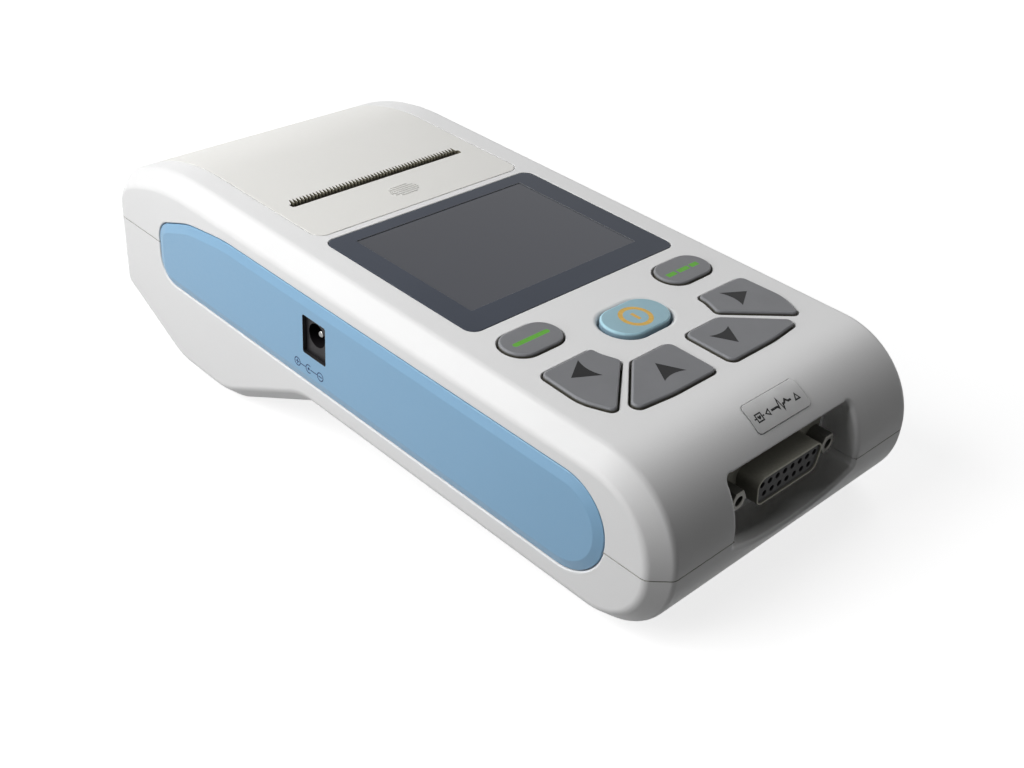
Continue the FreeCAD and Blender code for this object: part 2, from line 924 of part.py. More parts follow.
def make_patient_socket():
    flange_front = S.recess_back - S.flange_thick - 0.1
    shell_front = flange_front - S.shell_reach
    flange = prism(
        "socket_flange",
        "xz",
        rectangle(
            -S.flange_half,
            S.flange_half,
            S.socket_z - S.flange_half_height,
            S.socket_z + S.flange_half_height,
        ),
        -(S.recess_back - 0.1),
        S.flange_thick,
        ((1.6, ALL_ROUND),),
    )
    tube = prism(
        "socket_tube",
        "xz",
        socket_outline(0.0),
        -(flange_front + 0.2),
        S.shell_reach + 0.2,
        ((2.4, ALL_ROUND),),
    )
    bore = prism(
        "socket_bore",
        "xz",
        socket_outline(-S.shell_wall),
        -(S.recess_back + 2.0),
        S.shell_reach + 8.0,
        ((2.0, ALL_ROUND),),
    )
    screw_holes = [
        rod(
            f"flange_hole_{side}",
            "y",
            1.55,
            flange_front - 2.0,
            S.recess_back + 2.0,
            side * S.screw_pitch / 2,
            S.socket_z,
        )
        for side in (-1, 1)
    ]
    keep(without("socket_metal", joined("socket_plate", flange, tube), bore, *screw_holes), "patient_socket_shell")

    block = prism(
        "socket_block",
        "xz",
        socket_outline(-S.shell_wall - 0.05),
        -(S.recess_back + 3.4),
        S.recess_back + 3.4 - shell_front - 0.5,
        ((1.9, ALL_ROUND),),
    )
    holes = []
    contacts = []
    for level, count in CONTACT_ROWS:
        for index in range(count):
            x = (index - (count - 1) / 2) * CONTACT_PITCH
            tag = f"{count}_{index}"
            z = S.socket_z + level
            holes.append(rod(f"contact_hole_{tag}", "y", 0.75, shell_front - 2.0, S.recess_back + 9.0, x, z))
            sleeve = rod(f"contact_sleeve_{tag}", "y", 0.75, shell_front + 0.8, S.recess_back + 6.4, x, z)
            bore_of = rod(f"contact_bore_{tag}", "y", 0.5, shell_front - 1.0, shell_front + 5.5, x, z)
            contacts.append(without(f"contact_{tag}", sleeve, bore_of))
    keep(without("socket_block_bored", block, *holes), "patient_socket_insulator")
    keep(grouped("contact_set", *contacts), "patient_socket_contacts")

    screws = []
    for side in (-1, 1):
        x = side * S.screw_pitch / 2
        across = 2.75
        hexagon = [
            (x + across * math.cos(math.radians(60 * turn)), S.socket_z + across * math.sin(math.radians(60 * turn)))
            for turn in range(6)
        ]
        head = prism(f"jackscrew_head_{side}", "xz", hexagon, -flange_front, 4.8)
        shank = rod(f"jackscrew_shank_{side}", "y", 1.45, flange_front, S.recess_back + 5.0, x, S.socket_z)
        thread = rod(f"jackscrew_thread_{side}", "y", S.jackscrew_thread, flange_front - 6.0, flange_front, x, S.socket_z)
        screws.append(without(f"jackscrew_{side}", joined(f"jackscrew_body_{side}", head, shank), thread))
    keep(grouped("jackscrew_set", *screws), "jackscrews")


# ---------------------------------------------------------------- inlet


def make_inlet():
    face = -S.half_width + 0.4
    block = box(
        "inlet_block",
        (face, -33.0),
        (S.inlet_y - S.inlet_half + 0.15, S.inlet_y + S.inlet_half - 0.15),
        (S.inlet_z - S.inlet_half_height + 0.15, S.inlet_z + S.inlet_half_height - 0.15),
    )
    bore = rod("inlet_bore_hole", "x", S.inlet_bore, face - 1.0, -36.0, S.inlet_y, S.inlet_z + 1.0)
    keep(without("inlet_housing", block, bore), "power_jack_housing")
    pin = rod("inlet_pin_rod", "x", S.inlet_pin, face + 1.0, -36.0, S.inlet_y, S.inlet_z + 1.0)
    tail = rod("inlet_pin_tail", "x", 2.2, -36.4, -36.0, S.inlet_y, S.inlet_z + 1.0)
    keep(joined("inlet_pin_whole", pin, tail), "power_jack_pin")


# ---------------------------------------------------------------- boards


def make_electronics():
    holes = [
        rod(f"board_hole_{index}", "z", 1.3, 20.0, 40.0, x, y) for index, (x, y) in enumerate(BOSS_PLACES)
    ]
    board = box("board_plate", (-41.0, 41.0), (14.6, 127.2), (BOARD_TOP - 1.7, BOARD_TOP - 0.1))
    keep(without("board_drilled", board, *holes), "main_board")

    chip_places = [
        (-26.0, 84.0, 14.0, 14.0, 1.6),
        (-2.0, 92.0, 10.0, 10.0, 1.4),
        (22.0, 84.0, 16.0, 8.0, 2.2),
        (-24.0, 30.0, 12.0, 18.0, 2.4),
        (6.0, 30.0, 8.0, 8.0, 1.4),
        (24.0, 112.0, 8.0, 12.0, 6.0),
        (-4.0, 112.0, 18.0, 6.0, 4.0),
    ]
    chips = []
    board_under = BOARD_TOP - 1.7
    for index, (x, y, wide, deep, tall) in enumerate(chip_places):
        chips.append(box(f"chip_{index}", (x, x + wide), (y, y + deep), (board_under - tall, board_under)))
    keep(grouped("chips", *chips), "board_components")
    buzzer = rod("buzzer_can", "z", 4.5, board_under - 5.0, board_under, 30.0, 70.0)
    vent = rod("buzzer_vent", "z", 1.0, board_under - 6.0, board_under - 4.0, 30.0, 70.0)
    keep(without("buzzer_whole", buzzer, vent), "buzzer")

    key_board = box("key_board_plate", (-39.0, 39.0), (21.5, 66.6), (KEY_BOARD_TOP - 1.6, KEY_BOARD_TOP))
    pegs = [
        rod(f"key_board_peg_{index}", "z", 1.0, KEY_BOARD_TOP - 3.0, KEY_BOARD_TOP + 1.0, x, y)
        for index, (x, y) in enumerate(KEY_BOARD_POSTS)
    ]
    keep(without("key_board_drilled", key_board, *pegs), "keypad_board")
    domes = [
        rod(f"{name}_dome", "z", 3.0, KEY_BOARD_TOP, KEY_BOARD_TOP + 0.8, x, y)
        for name, (x, y) in KEY_CENTRES.items()
    ]
    keep(grouped("dome_set", *domes), "key_switches")

    pack = prism("pack", "xy", rectangle(-31.0, 31.0, 38.0, 108.0), 2.6, 15.0, ((2.0, ALL_ROUND),))
    keep(pack, "battery_pack")


# ---------------------------------------------------------------- paper door


def make_door():
    outer = side_form("door_outer", 0.0, S.door_half + 1.0)
    inner = side_form("door_inner", S.door_thick, S.door_half + 2.0)
    plan = prism(
        "door_plan",
        "xy",
        rectangle(-S.door_half, S.door_half, S.door_front_y, DOOR_REAR_Y),
        28.0,
        30.0,
        ((S.door_corner, (0, 1)),),
    )
    panel = within("door_panel", without("door_skin", outer, inner), plan)
    barrel = rod("door_barrel", "x", S.hinge_barrel, -S.door_half, S.door_half, HINGE_Y, HINGE_Z)
    ears = []
    for side in (-1, 1):
        low, high = sorted((side * 29.2, side * 30.6))
        ears.append(
            prism(
                f"door_ear_{side}",
                "yz",
                [
                    (S.platen_y - 4.6, S.platen_z - 4.2),
                    (S.platen_y + 4.6, S.platen_z - 4.2),
                    (S.platen_y + 4.6, S.deck - 1.0),
                    (S.platen_y - 4.6, S.deck - 1.0),
                ],
                low,
                high - low,
                ((3.5, (0, 1)),),
            )
        )
    whole = joined("door_whole", panel, barrel, *ears)

    pin_way = rod("door_pin_way", "x", S.hinge_pin + 0.06, -40.0, 40.0, HINGE_Y, HINGE_Z)
    bush_way = rod("door_bush_way", "x", S.bush_radius, -40.0, 40.0, S.platen_y, S.platen_z)
    slot = prism(
        "paper_slot",
        "xy",
        rectangle(-S.slot_half, S.slot_half, S.slot_y, S.slot_y + S.slot_depth - S.tooth_length),
        S.deck - 6.0,
        12.0,
        ((0.9, ALL_ROUND),),
    )
    base_y = S.slot_y + S.slot_depth - S.tooth_length - 0.1
    tooth = prism(
        "tear_notch",
        "xy",
        [
            (-S.slot_half + 0.6, base_y),
            (-S.slot_half + 0.6 + S.tooth_pitch * 0.92, base_y),
            (-S.slot_half + 0.6 + S.tooth_pitch * 0.46, base_y + S.tooth_length),
        ],
        S.deck - 6.0,
        12.0,
    )
    DOC.recompute()
    row = tooth.newObject("PartDesign::LinearPattern", "tear_notch_row")
    row.Originals = [tooth.Tip]
    along = next(line for line in tooth.Origin.OriginFeatures if line.Role == "X_Axis")
    row.Direction = (along, [""])
    teeth = int((2 * S.slot_half.value - 1.2) / S.tooth_pitch.value)
    row.Occurrences = teeth
    row.Length = (teeth - 1) * S.tooth_pitch.value
    tooth.Tip = row
    keep(without("door_cut", whole, pin_way, bush_way, slot, tooth), "paper_door")


# ---------------------------------------------------------------- printer

PLATEN_HALF = 28.7
FRAME_IN = 31.0
FRAME_OUT = 32.6
IDLER_OFFSET = (-6.65, -11.30)
PINION_OFFSET = (-4.06, -9.30)
PLATEN_TEETH, IDLER_TEETH, PINION_TEETH = 24, 28, 12
IDLER_Y = S.platen_y + IDLER_OFFSET[0]
IDLER_Z = S.platen_z + IDLER_OFFSET[1]
MOTOR_Y = IDLER_Y + PINION_OFFSET[0]
MOTOR_Z = IDLER_Z + PINION_OFFSET[1]


def line_angle(offset):
    """The direction of an offset in the y, z plane, in degrees from +y towards +z."""
    return math.degrees(math.atan2(offset[1], offset[0]))


def mesh_angles():
    """Angle of one tooth on each gear, so that the three gears are in mesh at rest."""
    to_idler = line_angle(IDLER_OFFSET)
    to_pinion = line_angle(PINION_OFFSET)
    platen_tooth = to_idler
    idler_pitch = 360.0 / IDLER_TEETH
    idler_tooth = to_idler + 180.0 + idler_pitch / 2
    ahead = (idler_tooth - to_pinion) % idler_pitch
    pinion_pitch = 360.0 / PINION_TEETH
    pinion_tooth = to_pinion + 180.0 - ahead * IDLER_TEETH / PINION_TEETH + pinion_pitch / 2
    return platen_tooth, idler_tooth, pinion_tooth


def gear(name, teeth, bore, y, z, tooth_angle):
    """A spur gear: a root disc, one straight-flanked tooth and its polar pattern."""
    body = DOC.addObject("PartDesign::Body", name)
    root = S.gear_module * (teeth / 2 - 1.15)
    disc = body.newObject("Sketcher::SketchObject", f"{name}_disc")
    disc.AttachmentSupport = [(origin_plane(body, PLANES["yz"]), "")]
    disc.MapMode = "FlatFace"
    middle = FreeCAD.Vector()
    normal = FreeCAD.Vector(0, 0, 1)
    for index, radius in enumerate((root, sized(bore))):
        disc.addGeometry(Part.Circle(middle, normal, radius.value))
        disc.addConstraint(Sketcher.Constraint("Coincident", index, 3, -1, 1))
        held = disc.addConstraint(Sketcher.Constraint("Radius", index, radius.value))
        if "Sizes." in radius.text:
            disc.setExpression(f"Constraints[{held}]", radius.text)
    padded(body, f"{name}_blank", disc, S.gear_width)
    tip = S.gear_module * (teeth / 2 + 0.9)
    outline = [
        (root - 0.25, S.gear_module * -0.84),
        (root, S.gear_module * -0.84),
        (tip, S.gear_module * -0.36),
        (tip, S.gear_module * 0.36),
        (root, S.gear_module * 0.84),
        (root - 0.25, S.gear_module * 0.84),
    ]
    tooth = padded(body, f"{name}_tooth", outline_sketch(body, f"{name}_tooth_outline", "yz", outline), S.gear_width)
    DOC.recompute()
    ring = body.newObject("PartDesign::PolarPattern", f"{name}_teeth")
    ring.Originals = [tooth]
    ring.Axis = (next(line for line in body.Origin.OriginFeatures if line.Role == "X_Axis"), [""])
    ring.Angle = 360.0
    ring.Occurrences = teeth
    body.Tip = ring
    place = FreeCAD.Vector(S.gear_x.value, y.value, z.value)
    body.Placement = FreeCAD.Placement(place, FreeCAD.Rotation(FreeCAD.Vector(1, 0, 0), tooth_angle))
    return body


def make_printer():
    y, z = S.platen_y, S.platen_z
    shaft_end = S.gear_x + S.gear_width
    rubber = rod("platen_rubber", "x", S.platen_radius, -PLATEN_HALF, PLATEN_HALF, y, z)
    rubber_bore = rod("platen_bore", "x", S.platen_shaft, -40.0, 40.0, y, z)
    keep(without("platen_sleeve", rubber, rubber_bore), "platen_roller")
    keep(grouped("platen_axle", rod("platen_rod", "x", S.platen_shaft, -33.0, shaft_end, y, z)), "platen_shaft")
    bushes = []
    for side in (-1, 1):
        low, high = sorted((side * 29.2, side * 32.6))
        ring = rod(f"bush_ring_{side}", "x", S.bush_radius, low, high, y, z)
        hole = rod(f"bush_hole_{side}", "x", S.platen_shaft + S.shaft_clearance, low - 1.0, high + 1.0, y, z)
        bushes.append(without(f"bush_{side}", ring, hole))
    keep(grouped("bush_pair", *bushes), "platen_bushes")

    platen_tooth, idler_tooth, pinion_tooth = mesh_angles()
    keep(gear("gear_on_platen", PLATEN_TEETH, S.platen_shaft, y, z, platen_tooth), "platen_gear")
    idler_bore = sized(1.5) + S.shaft_clearance
    keep(gear("gear_idle", IDLER_TEETH, idler_bore, IDLER_Y, IDLER_Z, idler_tooth), "idler_gear")
    keep(gear("gear_on_motor", PINION_TEETH, 0.8, MOTOR_Y, MOTOR_Z, pinion_tooth), "motor_pinion")
    keep(grouped("idler_stub", rod("idler_rod", "x", 1.5, FRAME_IN, 36.4, IDLER_Y, IDLER_Z)), "idler_pin")
    keep(grouped("motor_axle", rod("motor_rod", "x", 0.8, 28.0, 36.2, MOTOR_Y, MOTOR_Z)), "motor_shaft")

    can = rod("motor_can", "x", S.motor_radius, 14.0, FRAME_IN, MOTOR_Y, MOTOR_Z)
    well = rod("motor_well", "x", 1.2, 27.0, FRAME_IN + 1.0, MOTOR_Y, MOTOR_Z)
    keep(without("motor_whole", can, well), "stepper_motor")

    floor = box("frame_floor", (-FRAME_OUT, FRAME_OUT), (140.2, 158.6), (PRINTER_FLOOR, PRINTER_FLOOR + 1.6))
    front = box("frame_front", (-FRAME_OUT, FRAME_OUT), (138.6, 140.2), (PRINTER_FLOOR, 36.0))
    left = box("frame_left", (-FRAME_OUT, -FRAME_IN), (138.6, 158.6), (PRINTER_FLOOR, z + 4.3))
    right = box("frame_right", (FRAME_IN, FRAME_OUT), (134.6, 158.6), (6.0, z + 4.3))
    frame = joined("frame_stock", floor, front, left, right)
    seat = rod("bush_seat", "x", S.bush_radius + 0.3, -40.0, 40.0, y, z)
    gate = box("bush_gate", (-40.0, 40.0), (y - S.bush_radius - 0.3, y + 6.0), (z, z + 10.0))
    idler_way = rod("idler_way", "x", 1.5, 30.0, 34.0, IDLER_Y, IDLER_Z)
    motor_way = rod("motor_way", "x", 1.2, 30.0, 34.0, MOTOR_Y, MOTOR_Z)
    keep(without("frame_cut", frame, seat, gate, idler_way, motor_way), "printer_frame")

    nip = y - S.platen_radius
    keep(
        grouped("head_strip", box("head_ceramic", (-29.4, 29.4), (nip - 1.4, nip - 0.35), (z - 6.0, z + 4.2))),
        "print_head",
    )
    keep(
        grouped("sink_plate", box("sink", (-29.4, 29.4), (nip - 3.4, nip - 1.4), (24.4, z + 5.0))),
        "head_heat_sink",
    )
    leaves = []
    for side in (-1, 1):
        low = side * 14.0 - 4.0
        leaves.append(
            prism(
                f"leaf_{side}",
                "yz",
                [
                    (140.2, 26.0),
                    (140.6, 26.0),
                    (nip - 3.4, 31.0),
                    (140.9, 35.6),
                    (140.2, 35.6),
                    (140.2, 35.2),
                    (nip - 3.9, 31.0),
                    (140.2, 26.4),
                ],
                low,
                8.0,
            )
        )
    keep(grouped("leaf_pair", *leaves), "head_springs")


# ---------------------------------------------------------------- paper roll


def make_paper():
    half = S.roll_width / 2
    wound = rod("roll_wound", "x", S.roll_radius, -half, half, S.roll_y, S.roll_z)
    hollow = rod("roll_hollow", "x", S.core_radius, -40.0, 40.0, S.roll_y, S.roll_z)
    keep(without("roll_whole", wound, hollow), "paper_roll")
    core = rod("core_tube", "x", S.core_radius, -half, half, S.roll_y, S.roll_z)
    bore = rod("core_hole", "x", S.core_bore, -40.0, 40.0, S.roll_y, S.roll_z)
    keep(without("core_whole", core, bore), "roll_core")
    sleeve = rod("spindle_sleeve", "x", S.spindle_radius, -27.5, 27.5, S.roll_y, S.roll_z)
    axle = rod("spindle_axle", "x", S.spindle_end, -33.6, 33.6, S.roll_y, S.roll_z)
    keep(joined("spindle_whole", sleeve, axle), "roll_spindle")


# ---------------------------------------------------------------- feet

TILT = math.degrees(math.atan2(SIZES["hump"], SIZES["foot_rear_y"] - SIZES["foot_front_y"]))


def tilted_rod(name, radius, x, y, z, low, high):
    """A rod square to the surface that the device rests on, through a point of its belly."""
    cylinder = DOC.addObject("Part::Cylinder", name)
    bind(cylinder, "Radius", radius)
    bind(cylinder, "Height", sized(high) - low)
    lean = FreeCAD.Rotation(FreeCAD.Vector(1, 0, 0), -TILT)
    foot = FreeCAD.Vector(x, y.value, z.value) + lean.multVec(FreeCAD.Vector(0, 0, sized(low).value))
    cylinder.Placement = FreeCAD.Placement(foot, lean)
    return cylinder


def foot_places():
    for side in (-1, 1):
        yield f"front_{side}", side * S.foot_x.value, S.foot_front_y, sized(0.0)
        yield f"rear_{side}", side * S.foot_x.value, S.foot_rear_y, -S.hump


def foot_cutters():
    return [
        tilted_rod(f"foot_seat_{tag}", S.foot_radius + 0.1, x, y, z, -3.0, S.foot_seat)
        for tag, x, y, z in foot_places()
    ]


def make_feet():
    feet = [
        tilted_rod(f"foot_{tag}", S.foot_radius, x, y, z, -S.foot_reach, S.foot_seat)
        for tag, x, y, z in foot_places()
    ]
    keep(grouped("foot_set", *feet), "rubber_feet")


# ---------------------------------------------------------------- assembly


def stand_on_feet():
    """Tilt every sub-part about x and set its origin under the middle of the whole."""
    tilt = FreeCAD.Rotation(FreeCAD.Vector(1, 0, 0), TILT)
    bounds = FreeCAD.BoundBox()
    for part in SUB_PARTS:
        shape = part.Shape.copy()
        shape.Placement = FreeCAD.Placement(FreeCAD.Vector(), tilt).multiply(shape.Placement)
        bounds.add(shape.optimalBoundingBox(False))
    middle = FreeCAD.Vector(-bounds.Center.x, -bounds.Center.y, -bounds.ZMin)
    stand = FreeCAD.Placement(middle, tilt)
    for part in SUB_PARTS:
        part.Placement = stand.multiply(part.Placement)
    return stand


def check_document():
    failed = [item.Name for item in DOC.Objects if {"Invalid", "Error"} & set(item.State)]
    if failed:
        raise RuntimeError(f"these objects failed: {failed}")
    for part in SUB_PARTS:
        if part.Shape.isNull() or not part.Shape.isValid() or not part.Shape.Solids:
            raise RuntimeError(f"{part.Label} has no valid solid")


def main():
    make_case()
    make_label()
    make_inlays()
    make_display()
    make_keys()
    make_electronics()
    make_patient_socket()
    make_inlet()
    make_door()
    make_printer()
    make_paper()
    make_feet()
    DOC.recompute()
    check_document()
    stand = stand_on_feet()
    DOC.recompute()
    check_document()
    print("stand", stand)
    os.makedirs("parts", exist_ok=True)
    for part in SUB_PARTS:
        part.Shape.exportStep(os.path.join("parts", f"{part.Label}.step"))
        print(part.Label, len(part.Shape.Solids), round(part.Shape.Volume, 1))


main()
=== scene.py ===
import math

import bpy
import numpy as np
from bpy.props import FloatProperty, FloatVectorProperty, PointerProperty
from mathutils import Matrix, Vector
from mathutils.geometry import delaunay_2d_cdt


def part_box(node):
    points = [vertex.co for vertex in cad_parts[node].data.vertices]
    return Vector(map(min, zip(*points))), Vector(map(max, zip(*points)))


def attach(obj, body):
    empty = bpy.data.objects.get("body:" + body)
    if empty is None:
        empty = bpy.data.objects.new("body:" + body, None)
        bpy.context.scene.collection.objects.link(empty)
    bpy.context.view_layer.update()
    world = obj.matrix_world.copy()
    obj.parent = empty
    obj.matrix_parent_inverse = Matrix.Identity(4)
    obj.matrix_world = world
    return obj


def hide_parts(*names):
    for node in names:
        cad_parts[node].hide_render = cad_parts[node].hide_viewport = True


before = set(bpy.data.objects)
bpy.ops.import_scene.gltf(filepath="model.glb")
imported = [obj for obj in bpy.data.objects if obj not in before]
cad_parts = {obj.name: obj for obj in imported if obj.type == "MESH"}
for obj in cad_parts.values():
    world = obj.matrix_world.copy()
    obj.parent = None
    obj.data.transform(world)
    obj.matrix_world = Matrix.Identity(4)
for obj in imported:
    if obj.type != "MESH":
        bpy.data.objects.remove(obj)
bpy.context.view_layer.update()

bl_info = {
    "name": "Hand-held ECG Monitor",
    "version": (1, 0, 0),
    "blender": (4, 5, 0),
    "location": "3D View > Sidebar > ECG Monitor",
    "description": "Dresses a hand-held electrocardiograph: case, keys, screen and sockets",
    "category": "Add Mesh",
}

# ------------------------------------------------------------------ device frame
# Shapes are worked out in millimetres in the device's own frame: x across, y back from the
# nose, z up from the belly.  place() turns them into the row frame, standing on the feet.

DECK = 42.9
LENGTH = 211.1
HALF_WIDTH = 47.4
HUMP = 18.15
PART_LINE = 20.7
NOSE_TOP_R = 22.0
NOSE_BELLY_R = 19.2
BAND_WIDTH = 4.75
BAND_DEPTH = 4.3
BAND_ROUND = 2.6
WALL = 2.4
FOOT_FRONT = (24.5, 0.0)
FOOT_REAR = (168.6, -HUMP)
PLATEN_AXIS = (153.8, 33.7)
REAR_ROUND = 13.0
BEND_Y = 188.1
BEND_ROUND = 75.0
BEND_SLOPE = math.radians(24.4)
HINGE_TILT = math.radians(35.0)
BARREL_R = 3.4
BARREL_RELIEF = 4.05

TILT = math.atan2(HUMP, FOOT_REAR[0] - FOOT_FRONT[0])
TURN = np.array(Matrix.Rotation(TILT, 3, "X"))


def standing_shift():
    """Where the device frame's origin lies in the row frame, found from the platen's shaft."""
    low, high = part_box("platen_shaft")
    middle = np.array((low + high) / 2) * 1000.0
    return np.array([0.0, *(middle - TURN @ np.array([0.0, *PLATEN_AXIS]))[1:]])


SHIFT = standing_shift()


def place(points):
    """Device frame, millimetres, to row frame, metres."""
    return (np.asarray(points) @ TURN.T + SHIFT) / 1000.0


# ------------------------------------------------------------------ plane curves


def path_of(corners, radii, closed=True):
    """A path of straight runs and arcs: each corner of the polygon is rounded by its radius.

    Returns arrays of each piece's start, heading, curvature and length, in order.
    """
    corners = np.asarray(corners, float)
    count = len(corners)
    radii = np.broadcast_to(np.asarray(radii, float), (count,))
    ahead = np.roll(corners, -1, 0) - corners
    runs = np.hypot(*ahead.T)
    heading = np.arctan2(ahead[:, 1], ahead[:, 0])
    before = np.roll(heading, 1)
    turn = (heading - before + math.pi) % (2 * math.pi) - math.pi
    if not closed:
        turn[0] = turn[-1] = 0.0
        before[0] = heading[0]
    setback = radii * np.tan(np.abs(turn) / 2)
    pieces = []
    for index in range(count):
        back = np.array([math.cos(before[index]), math.sin(before[index])])
        if abs(turn[index]) > 1e-9 and radii[index] > 0:
            start = corners[index] - back * setback[index]
            bend = math.copysign(1 / radii[index], turn[index])
            pieces.append((*start, before[index], bend, radii[index] * abs(turn[index])))
        if not closed and index == count - 1:
            break
        out = np.array([math.cos(heading[index]), math.sin(heading[index])])
        length = runs[index] - setback[index] - setback[(index + 1) % count]
        if length > 1e-9:
            pieces.append((*(corners[index] + out * setback[index]), heading[index], 0.0, length))
    x, y, angle, bend, length = np.array(pieces).T
    return {"x": x, "y": y, "angle": angle, "bend": bend, "length": length,
            "at": np.r_[0.0, np.cumsum(length)]}


def along(path, stations):
    """Points and headings at distances along a path: a piece of curvature k that starts at
    heading a has reached (sin(a + ks) - sin a) / k, (cos a - cos(a + ks)) / k after s."""
    stations = np.asarray(stations, float)
    piece = np.clip(np.searchsorted(path["at"], stations, "right") - 1, 0, len(path["x"]) - 1)
    run = stations - path["at"][piece]
    bend = path["bend"][piece]
    start = path["angle"][piece]
    angle = start + bend * run
    safe = np.where(bend == 0, 1.0, bend)
    dx = np.where(bend == 0, run * np.cos(start), (np.sin(angle) - np.sin(start)) / safe)
    dy = np.where(bend == 0, run * np.sin(start), (np.cos(start) - np.cos(angle)) / safe)
    return np.stack([path["x"][piece] + dx, path["y"][piece] + dy], -1), angle


def stations_of(path, arc_step, run_step, closed=True):
    """Distances along a path: every piece's ends, and even steps between them."""
    marks = []
    for start, length, bend in zip(path["at"], path["length"], path["bend"]):
        steps = max(1, math.ceil(length / (arc_step if bend else run_step)))
        marks.append(start + np.arange(steps) * length / steps)
    marks = np.concatenate(marks)
    return marks if closed else np.r_[marks, path["at"][-1]]


def outline(corners, radii, arc_step=0.35, run_step=400.0, closed=True):
    """A rounded polygon, anticlockwise, as its points and their outward normals."""
    path = path_of(corners, radii, closed)
    points, angle = along(path, stations_of(path, arc_step, run_step, closed))
    return points, np.stack([np.sin(angle), -np.cos(angle)], -1)


def rectangle(low_u, high_u, low_v, high_v):
    return [(low_u, low_v), (high_u, low_v), (high_u, high_v), (low_u, high_v)]


def spokes(angle):
    """Unit vectors at angles from the first direction."""
    return np.stack([np.cos(angle), np.sin(angle)], -1)


def circle(centre, radius, count=48):
    """A circle as points and outward normals, anticlockwise."""
    normal = spokes(np.arange(count) * 2 * math.pi / count)
    return np.asarray(centre) + radius * normal, normal


def shifted(shape, distance):
    """An outline moved along its outward normals."""
    points, normals = shape
    return points + distance * normals, normals


def part_of(shape, level, above):
    """The run of a closed outline on one side of v = level, with its ends cut exactly there."""
    points, normals = shape
    wanted = points[:, 1] > level if above else points[:, 1] < level
    first = int(np.flatnonzero(wanted & ~np.roll(wanted, 1))[0])
    points, normals, wanted = (np.roll(values, -first, 0) for values in (points, normals, wanted))
    count = int(wanted.sum())
    ends = []
    for inside, outside in ((0, -1), (count - 1, count)):
        share = (level - points[inside, 1]) / (points[outside % len(points), 1] - points[inside, 1])
        ends.append(points[inside] + share * (points[outside % len(points)] - points[inside]))
    flow = np.vstack([normals[0], normals[:count], normals[count - 1]])
    return np.vstack([ends[0], points[:count], ends[1]]), flow


# ------------------------------------------------------------------ surfaces
# A surface turns two parameters into points, outward normals and the two unit directions in
# which its parameters grow.


def spread(vector, like):
    return np.broadcast_to(np.asarray(vector, float), (*like.shape, 3))


def flat(origin, across, up):
    """A plane: origin + u * across + v * up, facing across x up."""
    origin, across, up = (np.asarray(value, float) for value in (origin, across, up))
    normal = np.cross(across, up)

    def surface(u, v):
        points = origin + u[..., None] * across + v[..., None] * up
        return points, spread(normal, u), spread(across, u), spread(up, u)

    return surface


def deck_plane(height):
    return flat((0, 0, height), (1, 0, 0), (0, 1, 0))


REAR_FOOT_Z = (LENGTH - 180.85) * math.tan(math.radians(26.7)) - HUMP
HUMP_START_Y = 156.6 - HUMP / math.tan(math.radians(26.6))
REAR_TOP_Z = DECK - (LENGTH - BEND_Y) * math.tan(BEND_SLOPE)
SIDE = path_of(
    [
        (0.0, PART_LINE),
        (0.0, DECK),
        (BEND_Y, DECK),
        (LENGTH, REAR_TOP_Z),
        (LENGTH, REAR_FOOT_Z),
        (180.85, -HUMP),
        (156.6, -HUMP),
        (HUMP_START_Y, 0.0),
        (0.0, 0.0),
    ],
    [0.0, NOSE_TOP_R, BEND_ROUND, REAR_ROUND, 6.5, 21.0, 21.0, 15.6, NOSE_BELLY_R],
)
AROUND = float(SIDE["at"][-1])


def swept(path, depth=0.0):
    """A side view's path carried across: the point at distance v along it, at x = u, let in by
    a depth along its inward normal."""

    def surface(u, v):
        points, angle = along(path, v)
        zero = np.zeros_like(angle)
        normal = np.stack([zero, -np.sin(angle), np.cos(angle)], -1)
        at = np.stack([u, points[..., 0], points[..., 1]], -1) - depth * normal
        up = np.stack([zero, np.cos(angle), np.sin(angle)], -1)
        return at, normal, spread((1, 0, 0), zero), up

    return surface


skin = swept(SIDE)  # the case's top and belly


def underside(surface, depth):
    """A surface a depth further in, facing the other way."""

    def under(u, v):
        points, normals, across, up = surface(u, v)
        return points - depth * normals, -normals, across, up

    return under


def facing(surface, normal):
    """The same surface with one normal everywhere."""

    def faced(u, v):
        points, _, across, up = surface(u, v)
        return points, spread(normal, u), across, up

    return faced


FINE = np.linspace(0.0, AROUND, 60001)
FINE_POINTS = along(SIDE, FINE)[0]


def station_at(y, z):
    """The distance round the side outline at the point nearest to y, z."""
    return float(FINE[np.argmin(np.hypot(FINE_POINTS[:, 0] - y, FINE_POINTS[:, 1] - z))])


REAR_PART = station_at(LENGTH, PART_LINE)
DECK_START = station_at(60.0, DECK) - 60.0


def band_section():
    """The band's cross-section as x, depth below the skin, and the normal's x and outward
    parts: an arc, the straight band, and an arc into the flat side."""
    slope = math.atan2(BAND_DEPTH, BAND_WIDTH)
    inner_x = HALF_WIDTH - BAND_WIDTH
    first = BAND_ROUND * math.tan(slope / 2)
    rest = math.pi / 2 - slope
    last = BAND_ROUND * math.tan(rest / 2)
    lean = np.linspace(0.0, slope, 6)
    arc_x = inner_x - first + BAND_ROUND * np.sin(lean)
    arc_d = BAND_ROUND * (1 - np.cos(lean))
    lean_2 = slope + np.linspace(0.0, rest, 6)
    start_x = HALF_WIDTH - last * math.cos(slope)
    start_d = BAND_DEPTH - last * math.sin(slope)
    arc_2x = start_x + BAND_ROUND * (np.sin(lean_2) - math.sin(slope))
    arc_2d = start_d + BAND_ROUND * (math.cos(slope) - np.cos(lean_2))
    angle = np.r_[lean, lean_2]
    return np.r_[arc_x, arc_2x], np.r_[arc_d, arc_2d], np.sin(angle), np.cos(angle)


BAND_X, BAND_D, BAND_NX, BAND_NZ = band_section()
FLAT_HALF = float(BAND_X[0])
SIDE_DEPTH = float(BAND_D[-1])


